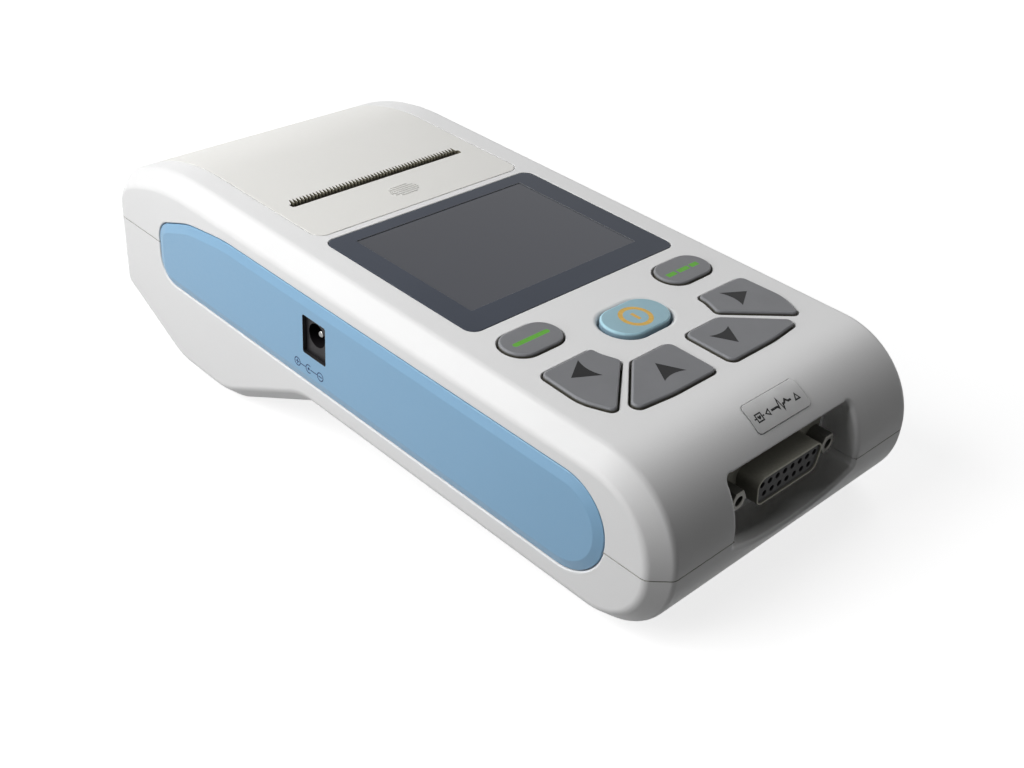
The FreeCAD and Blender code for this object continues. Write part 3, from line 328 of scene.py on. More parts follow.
def side_view(stations):
    """Points of the side outline and their outward normals."""
    points, angle = along(SIDE, stations)
    return points, np.stack([-np.sin(angle), np.cos(angle)], -1)


def at_x(x, values):
    """A row for each value, led by the same x: stations, or points or directions of a side view."""
    values = np.asarray(values, float).reshape(len(values), -1)
    return np.hstack([np.full((len(values), 1), float(x)), values])


def band_points(stations, side):
    """Points and normals of the band, one row for each station round the side outline."""
    points, outward = side_view(stations)
    moved = points[:, None, :] - BAND_D[None, :, None] * outward[:, None, :]
    x = np.broadcast_to(side * BAND_X, moved.shape[:2])
    nx = np.broadcast_to(side * BAND_NX, moved.shape[:2])
    lifted = BAND_NZ[None, :, None] * outward[:, None, :]
    return np.concatenate([x[..., None], moved], -1), np.concatenate([nx[..., None], lifted], -1)


def side_plane(side, half=HALF_WIDTH):
    """A flat side of the device, with u along y and v up."""

    def surface(u, v):
        at = np.stack([np.full_like(u, side * half), u, v], -1)
        return at, spread((side, 0, 0), u), spread((0, 1, 0), u), spread((0, 0, 1), u)

    return surface


# ------------------------------------------------------------------ patches
# A patch is its points, their normals, a list of face arrays and a material slot number.


def patch(points, normals, faces, slot=0):
    points, normals = points.reshape(-1, 3), normals.reshape(-1, 3)
    return {"points": points, "normals": normals, "faces": faces, "slot": slot}


def grid(points, normals, slot=0, closed=False):
    """Quads over a grid of points; closed joins the last column to the first."""
    rows, columns = points.shape[:2]
    index = np.arange(rows * columns).reshape(rows, columns)
    if closed:
        index = np.hstack([index, index[:, :1]])
    quads = np.stack([index[:-1, :-1], index[:-1, 1:], index[1:, 1:], index[1:, :-1]], -1)
    return patch(points, normals, [quads.reshape(-1, 4)], slot)


def strip(first, second, normals):
    """A ruled strip between two rows of points that share their normals."""
    return grid(np.stack([first, second]), np.stack([normals, normals]))


def inside(points, loops):
    """Even-odd test of points against closed loops, all at once."""
    odd = np.zeros(len(points), bool)
    for loop in loops:
        start, end = loop, np.roll(loop, -1, 0)
        for lo in range(0, len(points), 4000):
            x, y = points[lo:lo + 4000, 0:1], points[lo:lo + 4000, 1:2]
            spans = (start[:, 1] > y) != (end[:, 1] > y)
            rise = np.where(end[:, 1] == start[:, 1], 1.0, end[:, 1] - start[:, 1])
            reach = start[:, 0] + (y - start[:, 1]) * (end[:, 0] - start[:, 0]) / rise
            odd[lo:lo + 4000] ^= (np.count_nonzero(spans & (x < reach), 1) % 2).astype(bool)
    return odd


def fill(surface, loops, extra=None, slot=0):
    """Triangles that cover a region of a surface bounded by loops, the first the outer one."""
    loops = [np.asarray(loop) for loop in loops]
    points = np.vstack(loops)
    edges = []
    base = 0
    for loop in loops:
        edges += [(base + i, base + (i + 1) % len(loop)) for i in range(len(loop))]
        base += len(loop)
    if extra is not None and len(extra):
        points = np.vstack([points, extra[inside(extra, loops)]])
    found, _, faces, *_ = delaunay_2d_cdt([Vector(p) for p in points.tolist()], edges, [], 1, 1e-5)
    found = np.array([tuple(p) for p in found])
    triangles = np.array([face for face in faces if len(face) == 3])
    middles = found[triangles].mean(1)
    triangles = triangles[inside(middles, loops)]
    place_at, normals, _, _ = surface(found[:, 0], found[:, 1])
    return patch(place_at, normals, [triangles], slot)


def quarter(radius, depth, rows=5):
    """The section of a rounded edge: a quarter circle and the wall under it, as rows of
    distance out, distance down, and the outward and upward parts of the normal."""
    turn = np.linspace(0.0, math.pi / 2, rows)
    sine, cosine = np.sin(turn), np.cos(turn)
    arc = np.stack([radius * sine, radius * (1 - cosine), sine, cosine], -1)
    return np.vstack([arc, (radius, depth, 1.0, 0.0)]) if depth > radius else arc


def section_of(path, arc_step):
    """A section's rows from a path drawn outwards and down."""
    points, angle = along(path, stations_of(path, arc_step, 5.0, False))
    return np.column_stack([points, np.sin(angle), np.cos(angle)])


def bevel(width, drop, soft, turn_in, depth):
    """The section of a broad bevel: softened where it leaves the face and where it turns down."""
    slope = math.atan2(drop, width)
    start = soft * math.tan(slope / 2) + 0.01
    corners = [(0.0, 0.0), (start, 0.0), (start + width, drop), (start + width, depth)]
    return section_of(path_of(corners, [0, soft, turn_in, 0], False), 0.12)


def carry(points, normals, off, section, closed=True, slot=0):
    """A section carried along a path: each row is moved out along the off direction and down
    against the surface's normal."""
    out, down, away, up = (column[:, None, None] for column in section.T)
    return [grid(points + out * off - down * normals, away * off + up * normals, slot, closed)]


def on_surface(surface, shape, sense=1.0):
    """An outline drawn on a surface: its points, normals and directions off to its outside."""
    loop, flow = shape
    points, normals, across, up = surface(loop[:, 0], loop[:, 1])
    return points, normals, sense * (flow[:, :1] * across + flow[:, 1:] * up)


def edge(surface, shape, section, hollow=False, slot=0):
    """A section carried round an outline on a surface, outwards, or inwards for an opening;
    returns its patches and the loop at which the surface itself should stop."""
    sense = -1.0 if hollow else 1.0
    inner = shifted(shape, -sense * section[-1][0])
    return carry(*on_surface(surface, inner, sense), section, True, slot), inner[0]


def opening(surface, shape, section, holes, slot=0):
    """Cut an outline through a surface: its walls' patches, with its loop added to the holes."""
    walls, loop = edge(surface, shape, section, True, slot)
    holes.append(loop)
    return walls


def block(plane, shape, section, away, bores):
    """A block with blind bores: plane gives its front by depth, away is its back's normal, and
    each bore is its outline, its section and its walls' material slot."""
    patches, loop = edge(plane(0.0), shape, section)
    loops = [loop]
    for bore, bore_section, slot in bores:
        patches += opening(plane(0.0), bore, bore_section, loops, slot)
        patches.append(fill(plane(bore_section[-1][1]), [bore[0]], None, slot))
    back = facing(plane(section[-1][1]), away)
    return [*patches, fill(plane(0.0), loops), fill(back, [shape[0]])]


def cap(surface, shape, section, marks=(), extra=None):
    """A raised piece: its face with any printed marks, its edge and wall, and its underside."""
    sides, loop = edge(surface, shape, section)
    under = fill(underside(surface, section[-1][1]), [shape[0]], extra)
    return [*printed(surface, [loop], marks, extra), *sides, under]


def printed(surface, loops, marks, extra=None):
    """A face and the marks printed on it; each mark is its ink's slot and its loops."""
    edges = [loop for _, mark in marks for loop in mark]
    patches = [fill(surface, [*loops, *edges], extra)]
    for ink, mark in marks:
        spots = None if extra is None else extra[inside(extra, mark)]
        patches.append(fill(surface, mark, spots, ink))
    return patches


def turned(profile, origin, axis, count=48):
    """A surface of revolution: profile rows of distance along the axis, radius, and the
    normal's parts along and away from the axis, carried round a full turn."""
    axis = np.asarray(axis, float) / np.linalg.norm(axis)
    first = np.cross(axis, (0.0, 0.0, 1.0) if abs(axis[2]) < 0.9 else (1.0, 0.0, 0.0))
    first /= np.linalg.norm(first)
    second = np.cross(axis, first)
    angle = np.arange(count) * 2 * math.pi / count
    spoke = np.cos(angle)[:, None] * first + np.sin(angle)[:, None] * second
    reach, radius, along_axis, away = np.asarray(profile, float).T[:, :, None, None]
    points = np.asarray(origin, float) + reach * axis + radius * spoke
    normals = along_axis * axis + away * spoke
    return grid(points, normals, 0, True)


def corner_rows(reach, radius, round_by, start, end):
    """Profile rows of a quarter-round corner whose normal turns from one angle to another;
    angles are from the outward radial direction towards the axis."""
    angles = np.radians(np.linspace(start, end, 5))
    turn = [(math.sin(angle), math.cos(angle)) for angle in angles]
    return [
        (reach + round_by * sine, radius + round_by * cosine, sine, cosine)
        for sine, cosine in turn
    ]


def rod(origin, axis, radius, length, round_by):
    """A solid turned rod with rounded ends, from its origin along its axis."""
    rows = [(0.0, 0.0, -1.0, 0.0), *rounded_side(radius, length, round_by), (length, 0.0, 1.0, 0.0)]
    return turned(rows, origin, axis)


def rounded_side(radius, length, round_by):
    """Profile rows of a turned piece's outside, from one end face round to the other."""
    flat_to = radius - round_by
    return [
        (0.0, flat_to, -1.0, 0.0),
        *corner_rows(round_by, flat_to, round_by, -90, 0),
        *corner_rows(length - round_by, flat_to, round_by, 0, 90),
        (length, flat_to, 1.0, 0.0),
    ]


def tube(origin, axis, outer, inner, length, round_by, count):
    """A turned tube with rounded rims, closed from its bore round to its outside."""
    rows = [
        (round_by, inner, 0.0, -1.0),
        (0.0, inner + round_by, -1.0, 0.0),
        *rounded_side(outer, length, round_by),
        (length, inner + round_by, 1.0, 0.0),
        (length - round_by, inner, 0.0, -1.0),
        (round_by, inner, 0.0, -1.0),
    ]
    return turned(rows, origin, axis, count)


MERGE_POINTS = 2000  # steps in a millimetre within which points count as one
MERGE_NORMALS = 40


def build(name, patches, body, slot_name, materials, *replaces):
    """Join patches into one object in the row frame: points that share a place and a normal
    are merged, faces are turned to agree with their normals, and the normals are kept."""
    points = np.vstack([item["points"] for item in patches])
    normals = np.vstack([item["normals"] for item in patches])
    normals = normals / np.maximum(np.linalg.norm(normals, axis=1, keepdims=True), 1e-9)
    keys = np.hstack([np.round(points * MERGE_POINTS), np.round(normals * MERGE_NORMALS)])
    _, kept, merged = np.unique(
        keys.astype(np.int64), axis=0, return_index=True, return_inverse=True)
    merged = merged.reshape(-1)
    points, normals = points[kept], normals[kept]
    corners, sizes, slots = [], [], []
    base = 0

    def keep(faces, slot):
        corners.append(faces.reshape(-1))
        sizes.append(np.full(len(faces), faces.shape[1]))
        slots.append(np.full(len(faces), slot))

    for item in patches:
        for faces in item["faces"]:
            faces = merged[faces + base]
            a, b, c = (points[faces[:, i]] for i in (0, 1, 2))
            quads = faces.shape[1] == 4
            front = np.cross(c - a, points[faces[:, 3]] - b) if quads else np.cross(b - a, c - a)
            wrong = np.einsum("ij,ij->i", front, normals[faces].sum(1)) < 0
            faces[wrong] = faces[wrong][:, ::-1]
            repeated = (np.diff(np.sort(faces, 1), axis=1) == 0).sum(1)
            keep(faces[repeated == 0], item["slot"])
            if quads:
                pinched = faces[repeated == 1]
                same = pinched == np.roll(pinched, -1, 1)
                order = np.argsort(same, 1, kind="stable")[:, :3]
                keep(np.take_along_axis(pinched, np.sort(order, 1), 1), item["slot"])
        base += len(item["points"])
    corners, sizes, slots = (np.concatenate(values) for values in (corners, sizes, slots))
    mesh = bpy.data.meshes.new(name)
    mesh.vertices.add(len(points))
    mesh.vertices.foreach_set("co", place(points).astype(np.float32).ravel())
    mesh.loops.add(len(corners))
    mesh.loops.foreach_set("vertex_index", corners.astype(np.int32))
    mesh.polygons.add(len(sizes))
    mesh.polygons.foreach_set("loop_start", np.r_[0, np.cumsum(sizes)[:-1]].astype(np.int32))
    mesh.polygons.foreach_set("loop_total", sizes.astype(np.int32))
    mesh.polygons.foreach_set("material_index", slots.astype(np.int32))
    mesh.update(calc_edges=True)
    mesh.shade_smooth()
    mesh.normals_split_custom_set_from_vertices((normals @ TURN.T).tolist())
    for material in materials:
        mesh.materials.append(material)
    piece = bpy.data.objects.new(name, mesh)
    bpy.context.scene.collection.objects.link(piece)
    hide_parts(*replaces)
    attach(piece, body)


# ------------------------------------------------------------------ materials


class Nodes:
    """The node tree of a material or world, with short ways to add and link nodes."""

    def __init__(self, owner, output="ShaderNodeOutputMaterial"):
        owner.use_nodes = True
        self.owner = owner
        self.tree = owner.node_tree
        self.tree.nodes.clear()
        self.out = self.add(output)
        self.place = self.add("ShaderNodeTexCoord").outputs["Object"]

    def add(self, kind, **values):
        node = self.tree.nodes.new(kind)
        for key, value in values.items():
            setattr(node, key, value)
        return node

    def link(self, source, target):
        self.tree.links.new(source, target)

    def feed(self, target, value):
        if isinstance(value, bpy.types.NodeSocket):
            self.link(value, target)
        else:
            target.default_value = value

    def fed(self, kind, output, **sockets):
        """An output of a node whose inputs are named with their values or sources."""
        node = self.add(kind)
        for socket, value in sockets.items():
            self.feed(node.inputs[socket], value)
        return node.outputs[output]

    def math(self, operation, *values):
        node = self.add("ShaderNodeMath", operation=operation)
        for socket, value in zip(node.inputs, values):
            self.feed(socket, value)
        return node.outputs[0]

    def device_place(self):
        """Object coordinates turned level, so that x, y and z are the device's own, in metres."""
        mapping = self.add("ShaderNodeMapping", vector_type="TEXTURE")
        mapping.inputs["Location"].default_value = Vector(SHIFT / 1000.0)
        mapping.inputs["Rotation"].default_value = (TILT, 0.0, 0.0)
        self.link(self.place, mapping.inputs["Vector"])
        split = self.add("ShaderNodeSeparateXYZ")
        self.link(mapping.outputs[0], split.inputs[0])
        return split.outputs

    def noise(self, scale, detail, roughness=0.55, vector=None):
        return self.fed("ShaderNodeTexNoise", "Fac", Scale=scale, Detail=detail,
                        Roughness=roughness, Vector=vector or self.place)

    def patchy(self, scale, detail):
        """Noise stretched to run from 0 to 1."""
        return self.ranged(self.noise(scale, detail), 0.3, 0.7)

    def waves(self, value, pitch, level):
        """A sine along a value, from 0 to a level."""
        sine = self.math("SINE", self.math("MULTIPLY", value, 2 * math.pi / pitch))
        return self.ranged(sine, -1.0, 1.0, 0.0, level)

    def stretched(self, scale, stretch):
        """Noise drawn out into lines by a scale for each direction."""
        placed = self.fed("ShaderNodeMapping", "Vector", Scale=stretch, Vector=self.place)
        return self.noise(scale, 3.0, 0.7, placed)

    def mix(self, share, first, second):
        node = self.add("ShaderNodeMix", data_type="RGBA")
        for socket, value in zip(("Factor", "A", "B"), (share, first, second)):
            self.feed(node.inputs[socket], value)
        return node.outputs["Result"]

    def tones(self, share, colour, low, high):
        """A colour between two factors of itself."""
        return self.mix(share, tone(colour, low), tone(colour, high))

    def ranged(self, value, low, high, to_low=0.0, to_high=1.0):
        sockets = {"From Min": low, "From Max": high, "To Min": to_low, "To Max": to_high}
        return self.fed("ShaderNodeMapRange", "Result", Value=value, **sockets)

    def bump(self, height, distance, strength):
        return self.fed("ShaderNodeBump", "Normal", Height=height, Distance=distance,
                        Strength=strength)

    def surface(self, shader):
        self.link(shader, self.out.inputs["Surface"])
        return self.owner

    def finish(self, colour, roughness, normal=None, **sockets):
        shader = self.add("ShaderNodeBsdfPrincipled")
        self.feed(shader.inputs["Base Color"], colour)
        self.feed(shader.inputs["Roughness"], roughness)
        if normal is not None:
            self.link(normal, shader.inputs["Normal"])
        for key, value in sockets.items():
            shader.inputs[key.replace("_", " ")].default_value = value
        return self.surface(shader.outputs[0])


def material_nodes(name):
    return Nodes(bpy.data.materials.new(name))


def tone(colour, factor):
    return (*(min(1.0, channel * factor) for channel in colour[:3]), 1.0)


def moulded(name, colour, roughness, grain, height, mottle, **sockets):
    """Moulded plastic: spark-eroded grain, faint broad mottling and uneven sheen."""
    n = material_nodes(name)
    body = n.tones(n.patchy(35.0, 4.0), colour, 1.0 - mottle, 1.0 + mottle)
    sheen = n.ranged(n.noise(grain * 0.4, 2.0), 0.3, 0.7, roughness - 0.05, roughness + 0.05)
    return n.finish(body, sheen, n.bump(n.noise(grain, 2.0, 0.6), height, 0.6), **sockets)


def metal(name, colour, roughness, stretch=(1.0, 1.0, 1.0)):
    """Bare metal: fine lines drawn out along one direction, with faint stains."""
    n = material_nodes(name)
    lines = n.stretched(1800.0, stretch)
    body = n.tones(n.patchy(60.0, 4.0), colour, 0.9, 1.05)
    sheen = n.ranged(lines, 0.3, 0.7, roughness - 0.07, roughness + 0.07)
    return n.finish(body, sheen, n.bump(lines, 0.00001, 0.5), Metallic=1.0)


# ------------------------------------------------------------------ the device's outlines


def on_deck(corners):
    """Plan corners in x and y, as x and distance round the skin, for the flat part of the deck."""
    return [(x, DECK_START + y) for x, y in corners]


def mirrored(corners):
    return [(-x, y) for x, y in reversed(corners)]


# each key's corners in plan and their radii; how far its cap is trimmed inside them, the gap
# and rim round it, its crown, and the lip that holds it in
LEFT_FAN = [
    (-33.0, 27.8), (-16.7, 41.3), (-18.5, 46.0), (-18.8, 49.3), (-36.1, 49.1), (-36.7, 35.6),
]
LEFT_FAN_ROUNDS = [1.8, 1.6, 6.0, 1.6, 2.4, 12.0]
UP_FAN = [(-31.5, 26.3), (-18.0, 24.9), (-2.35, 24.9), (-2.35, 40.1), (-15.6, 40.1)]
UP_FAN_ROUNDS = [2.0, 30.0, 2.2, 2.4, 1.9]
PRINT_OVAL = rectangle(-35.6, -18.1, 54.9, 65.9)
POWER_OVAL = rectangle(-10.3, 9.6, 45.6, 58.6)
KEYS = {
    "key_print": (PRINT_OVAL, 5.4),
    "key_mode": (mirrored(PRINT_OVAL), 5.4),
    "key_power": (POWER_OVAL, 6.4),
    "key_left": (LEFT_FAN, LEFT_FAN_ROUNDS),
    "key_right": (mirrored(LEFT_FAN), LEFT_FAN_ROUNDS[::-1]),
    "key_up": (UP_FAN, UP_FAN_ROUNDS),
    "key_down": (mirrored(UP_FAN), UP_FAN_ROUNDS[::-1]),
}
KEY_TRIM = 0.4
KEY_GAP = 0.12
KEY_RIM = 0.3
POWER_DISH = 1.3
KEY_CROWN = (0.35, 0.03)
KEY_LIP = 0.95
KEY_LIP_THICK = 1.1
KEY_LIP_TOP = DECK - WALL - 0.2
KEY_PROUD = 0.7

# the window, the hole under it, and the display
WINDOW = rectangle(-35.75, 36.05, 70.5, 125.9)
WINDOW_ROUND = 3.0
WINDOW_GAP = 0.15
WINDOW_DEPTH = 1.6
VIEW = rectangle(-31.5, 31.5, 75.0, 123.5)
PICTURE = rectangle(-28.9, 28.9, 78.2, 121.5)
PICTURE_DEPTH = 0.2

# the side panels in y and z, their seats, and the inlet in the left one
INLAY = [(16.0, 9.5), (186.6, 9.5), (186.6, 26.6), (171.0, 32.4), (154.0, 34.7), (16.0, 34.7)]
INLAY_ROUNDS = [12.55, 6.5, 7.0, 30.0, 60.0, 12.55]
INLAY_FACE = HALF_WIDTH + 0.6
INLAY_BEVEL = 2.5
INLAY_DROP = 0.78
INLAY_THICK = 2.0
INLAY_GAP = 0.3
SEAT_DEPTH = 1.4
INLET = rectangle(109.6, 118.8, 18.6, 29.6)
INLET_BORE = (114.2, 25.1)
INLET_BORE_R = 3.2

# the paper door, its slot and grip, and the hinge at the end of its slope
DOOR_HALF = 35.6
DOOR_FRONT = 128.5
DOOR_ROUND = 3.5
DOOR_GAP = 0.24
DOOR_THICK = 2.0
SLOT_FRONT = 145.95
SLOT_WIDE = 1.8
SLOT_HALF = 29.9
SLOT_SHIFT = -0.6
TOOTH = 2.5
TEETH = 53
GRIP_Y = 137.2
REAR_ARC_Y = LENGTH - REAR_ROUND
REAR_ARC = np.array([
    REAR_ARC_Y,
    DECK - (REAR_ARC_Y - BEND_Y) * math.tan(BEND_SLOPE) - REAR_ROUND / math.cos(BEND_SLOPE),
])
HINGE_DIRECTION = np.array([math.sin(HINGE_TILT), math.cos(HINGE_TILT)])
HINGE = REAR_ARC + (REAR_ROUND - BARREL_R) * HINGE_DIRECTION
HINGE_BORE_R = 1.06

# the nose: its recess, the socket in it, and the label in degrees up the nose's arc
RECESS_HALF = 22.6
RECESS_TOP = 34.9
RECESS_FLOOR = 14.4
RECESS_DISH = 60.0
RECESS_BACK = 10.6
SOCKET_Z = 25.5
LABEL_LEFT = -8.7
LABEL_RIGHT = 10.4
LABEL_LOW = 49.8
LABEL_HIGH = 69.4
LABEL_SEAT = 0.4
LABEL_PROUD = 0.2

# half the parting line's gap, its edge's rounding, and where the hollow starts behind the nose
SEAM = 0.07
SEAM_EDGE = 0.1
INNER_FRONT = 14.0

# the belly's feet and screw ways
FEET = [(x, y, z) for y, z in (FOOT_FRONT, FOOT_REAR) for x in (-33.0, 33.0)]
FOOT_SEAT_R = 4.6
FOOT_SEAT_DEPTH = 1.2
SCREW_WAYS = [(38.35, 27.5), (38.55, 104.0)]
SCREW_WAY_R = 2.6
SCREW_WAY_DEPTH = 3.0

SKIN_STATIONS = stations_of(SIDE, 0.9, 5.0)


def span(low, high):
    """The skin's stations between two limits, with the limits themselves."""
    between = SKIN_STATIONS[(SKIN_STATIONS > low + 0.05) & (SKIN_STATIONS < high - 0.05)]
    return np.r_[low, between, high]


def curved_points(low, high, half):
    """Points to hold a filled skin to its curve: rows at the stations of its bends."""
    pitch = 6.0
    rows = span(low, high)[1:-1]
    piece = np.clip(np.searchsorted(SIDE["at"], rows, "right") - 1, 0, len(SIDE["x"]) - 1)
    rows = rows[SIDE["bend"][piece] != 0]
    columns = np.arange(-half + pitch, half - pitch / 2, pitch)
    return np.stack(np.meshgrid(columns, rows), -1).reshape(-1, 2)


def arc_crossing(arc_radius, hinge_radius, sense):
    """Angle from the vertical, about the rear arc's centre, at which a circle about the hinge
    crosses a circle about that centre."""
    apart = REAR_ROUND - BARREL_R
    cosine = (apart**2 + arc_radius**2 - hinge_radius**2) / (2 * apart * arc_radius)
    return HINGE_TILT + sense * math.acos(cosine)


def rear_point(angle, radius):
    """The point at an angle from the vertical and a radius about the rear arc's centre."""
    return REAR_ARC + radius * np.array([math.sin(angle), math.cos(angle)])


def arc_on_nose(degrees):
    """The distance round the skin at an angle up from level, about the nose's upper arc."""
    return nose_station(DECK - NOSE_TOP_R + NOSE_TOP_R * math.sin(math.radians(degrees)), True)


# ------------------------------------------------------------------ case


def band(side, low, high):
    points, normals = band_points(span(low, high), side)
    return grid(points, normals)


def side_edge(low, high):
    """The flat side's own outline: the side outline let in by the band's depth."""
    points, outward = side_view(span(low, high))
    return points - SIDE_DEPTH * outward


def part_run(ends):
    """Points and normals of the parting line's two runs on one side: from the recess to the
    side panel's seat, and from the seat round to the middle of the rear."""
    front_y, rear_y = ends
    front = np.stack([BAND_X, BAND_D], -1)
    front_flow = np.stack([BAND_NX, -BAND_NZ], -1)
    rear = np.stack([BAND_X, LENGTH - BAND_D], -1)[::-1]
    rear_flow = np.stack([BAND_NX, BAND_NZ], -1)[::-1]
    return (
        (np.vstack([(RECESS_HALF + 0.4, 0.0), front, (HALF_WIDTH, front_y)]),
         np.vstack([(0, -1), front_flow, (1, 0)])),
        (np.vstack([(HALF_WIDTH, rear_y), rear, (0.0, LENGTH)]),
         np.vstack([(1, 0), rear_flow, (0, 1)])),
    )


def part_lips(seat_ends, upper):
    """One half's edge along the parting line, rounded and then drawn inwards; it takes the second
    material slot, whose darker grey is painted shade in the parting groove.
    """
    patches = []
    towards = -1.0 if upper else 1.0
    level = PART_LINE - towards * (SEAM + SEAM_EDGE)
    for run, flow in part_run(seat_ends):
        for side in (-1, 1):
            points = np.stack([side * run[:, 0], run[:, 1], np.full(len(run), level)], -1)
            normals = np.stack([side * flow[:, 0], flow[:, 1], np.zeros(len(run))], -1)
            off = spread((0, 0, towards), flow[:, 0])
            patches += carry(points, normals, off, quarter(SEAM_EDGE, SEAT_DEPTH), False, 1)
    return patches


def recess_path(upper):
    """The recess's outline seen from the nose, in x and z, anticlockwise, and its normals."""
    half = RECESS_HALF
    if upper:
        low = PART_LINE + SEAM
        corners = [(half, low), (half, RECESS_TOP), (-half, RECESS_TOP), (-half, low)]
        return outline(corners, [0, 2.0, 2.0, 0], 0.3, 1.5, False)
    lean = math.asin(half / RECESS_DISH)
    side_z = RECESS_FLOOR + RECESS_DISH * (1 - math.cos(lean))
    middle_z = side_z - half * math.tan(lean)
    high = PART_LINE - SEAM
    corners = [(-half, high), (-half, side_z), (0.0, middle_z), (half, side_z), (half, high)]
    return outline(corners, [0, 0.9, RECESS_DISH - 2.0, 0.9, 0], 0.5, 1.5, False)


def nose_station(z, upper):
    """The distance round the skin of heights on the nose."""
    if upper:
        part = slice(0, np.searchsorted(FINE, DECK_START + NOSE_TOP_R))
    else:
        part = slice(np.searchsorted(FINE, AROUND - PART_LINE * 1.5), len(FINE))
    return np.interp(z, FINE_POINTS[part, 1], FINE[part])


def recess_edge(upper):
    """The rounded mouth and the walls of the nose recess.

    At each point of the mouth an arc, broad at the sides and tight at the roof, turns from the
    skin's normal to the wall's own; the wall then runs level to the recess's back.  Returns the
    patches and the loop at which the skin stops.
    """
    path, flow = recess_path(upper)
    station = nose_station(path[:, 1], upper)
    at, normal, across, up = skin(path[:, 0], station)
    wall = np.stack([-flow[:, 0], np.zeros(len(flow)), -flow[:, 1]], -1)
    lean = np.einsum("ij,ij->i", normal, wall)[:, None]
    tangent = wall - lean * normal
    tangent = -tangent / np.linalg.norm(tangent, axis=1, keepdims=True)
    half_turn = np.arccos(np.clip(lean, -1, 1)) / 2
    tight, widening = (0.35, 0.95) if upper else (0.8, 0.475)
    radius = tight + widening * np.abs(wall[:, :1])
    offset = radius * np.tan(half_turn)
    loop = np.stack([path[:, 0], station], -1)
    loop = loop + offset * np.stack([(tangent * across).sum(1), (tangent * up).sum(1)], -1)
    centre = at - radius * (normal + wall) / (1 + lean)
    turn = 2 * half_turn
    normals = np.stack([
        (np.sin((1 - share) * turn) * normal + np.sin(share * turn) * wall) / np.sin(turn)
        for share in np.linspace(0, 1, 6)
    ])
    mouth = centre + radius * normals
    mouth[0], normals[0] = skin(loop[:, 0], loop[:, 1])[:2]
    back = mouth[-1].copy()
    back[:, 1] = RECESS_BACK
    back_wall = fill(flat((0, RECESS_BACK, 0), (1, 0, 0), (0, 0, 1)), [back[:, (0, 2)]])
    return [grid(mouth, normals), strip(mouth[-1], back, wall), back_wall], loop


def inner_walls(low, high, holes, upper):
    """The hollow's own skin: a wall's thickness in, sloped at its sides to clear the band."""
    stations = span(low, high)
    half = HALF_WIDTH - BAND_WIDTH - 0.9
    loop = np.vstack([at_x(half, stations), at_x(-half, stations[::-1])])
    patches = [fill(underside(skin, WALL), [loop, *holes], curved_points(low, high, half))]
    points, outward = side_view(stations)
    rim = points - (BAND_DEPTH + 1.6) * outward
    for side in (-1, 1):
        wall_x = side * (HALF_WIDTH - WALL)
        lean = at_x(-side * 0.7, -0.7 * outward)
        patches.append(strip(at_x(side * half, points - WALL * outward), at_x(wall_x, rim), lean))
        facing_in = facing(side_plane(side, HALF_WIDTH - WALL), (-side, 0, 0))
        way = [inlet_way(PART_LINE, upper)] if side < 0 else []
        patches.append(fill(facing_in, [np.vstack([rim, (INNER_FRONT, PART_LINE)]), *way]))
    return patches


def inlet_way(cut, upper):
    """The opening that one case half leaves for the inlet, down or up to the level of the cut."""
    gap = 0.2
    (front, bottom), (rear, top) = INLET[0], INLET[2]
    low, high = (cut + 0.01, top + gap) if upper else (bottom - gap, cut - 0.01)
    return np.array(rectangle(front - gap, rear + gap, low, high))


def panel_seat():
    """The outline of a side panel's seat."""
    return shifted(outline(INLAY, INLAY_ROUNDS, 0.6, 8.0), INLAY_GAP)


def seat_ends():
    """Where the side panel's seat crosses the parting line, front and rear."""
    ends = part_of(panel_seat(), PART_LINE, True)[0][[0, -1], 0]
    return float(ends.min()), float(ends.max())


def side_walls(side, low, high, seat_section, upper):
    """The case's flat side above or below the parting line, round the side panel's seat."""
    sense = 1 if upper else -1
    surface = side_plane(side)
    seat = panel_seat()
    level = PART_LINE + sense * (SEAM + SEAM_EDGE)
    run, flow = part_of(shifted(seat, seat_section[-1][0]), level, upper)
    patches = carry(*on_surface(surface, (run, flow), -1.0), seat_section, False)
    rim = side_edge(low, high)
    # the rim runs from one end of the parting line to the other; the seat's run is joined on
    # so that the two together enclose the flat side
    starts_near = np.linalg.norm(run[0] - rim[-1]) < np.linalg.norm(run[-1] - rim[-1])
    patches.append(fill(surface, [np.vstack([rim, run if starts_near else run[::-1]])]))
    cut = PART_LINE + sense * SEAM
    floor = side_plane(side, HALF_WIDTH - SEAT_DEPTH)
    way = []
    if side < 0:
        way = [inlet_way(cut, upper)]
        patches += carry(*on_surface(floor, outline(way[0], 0.01), -1.0), quarter(0.01, 2.0), True)
    patches.append(fill(floor, [part_of(seat, cut, upper)[0], *way]))
    return patches


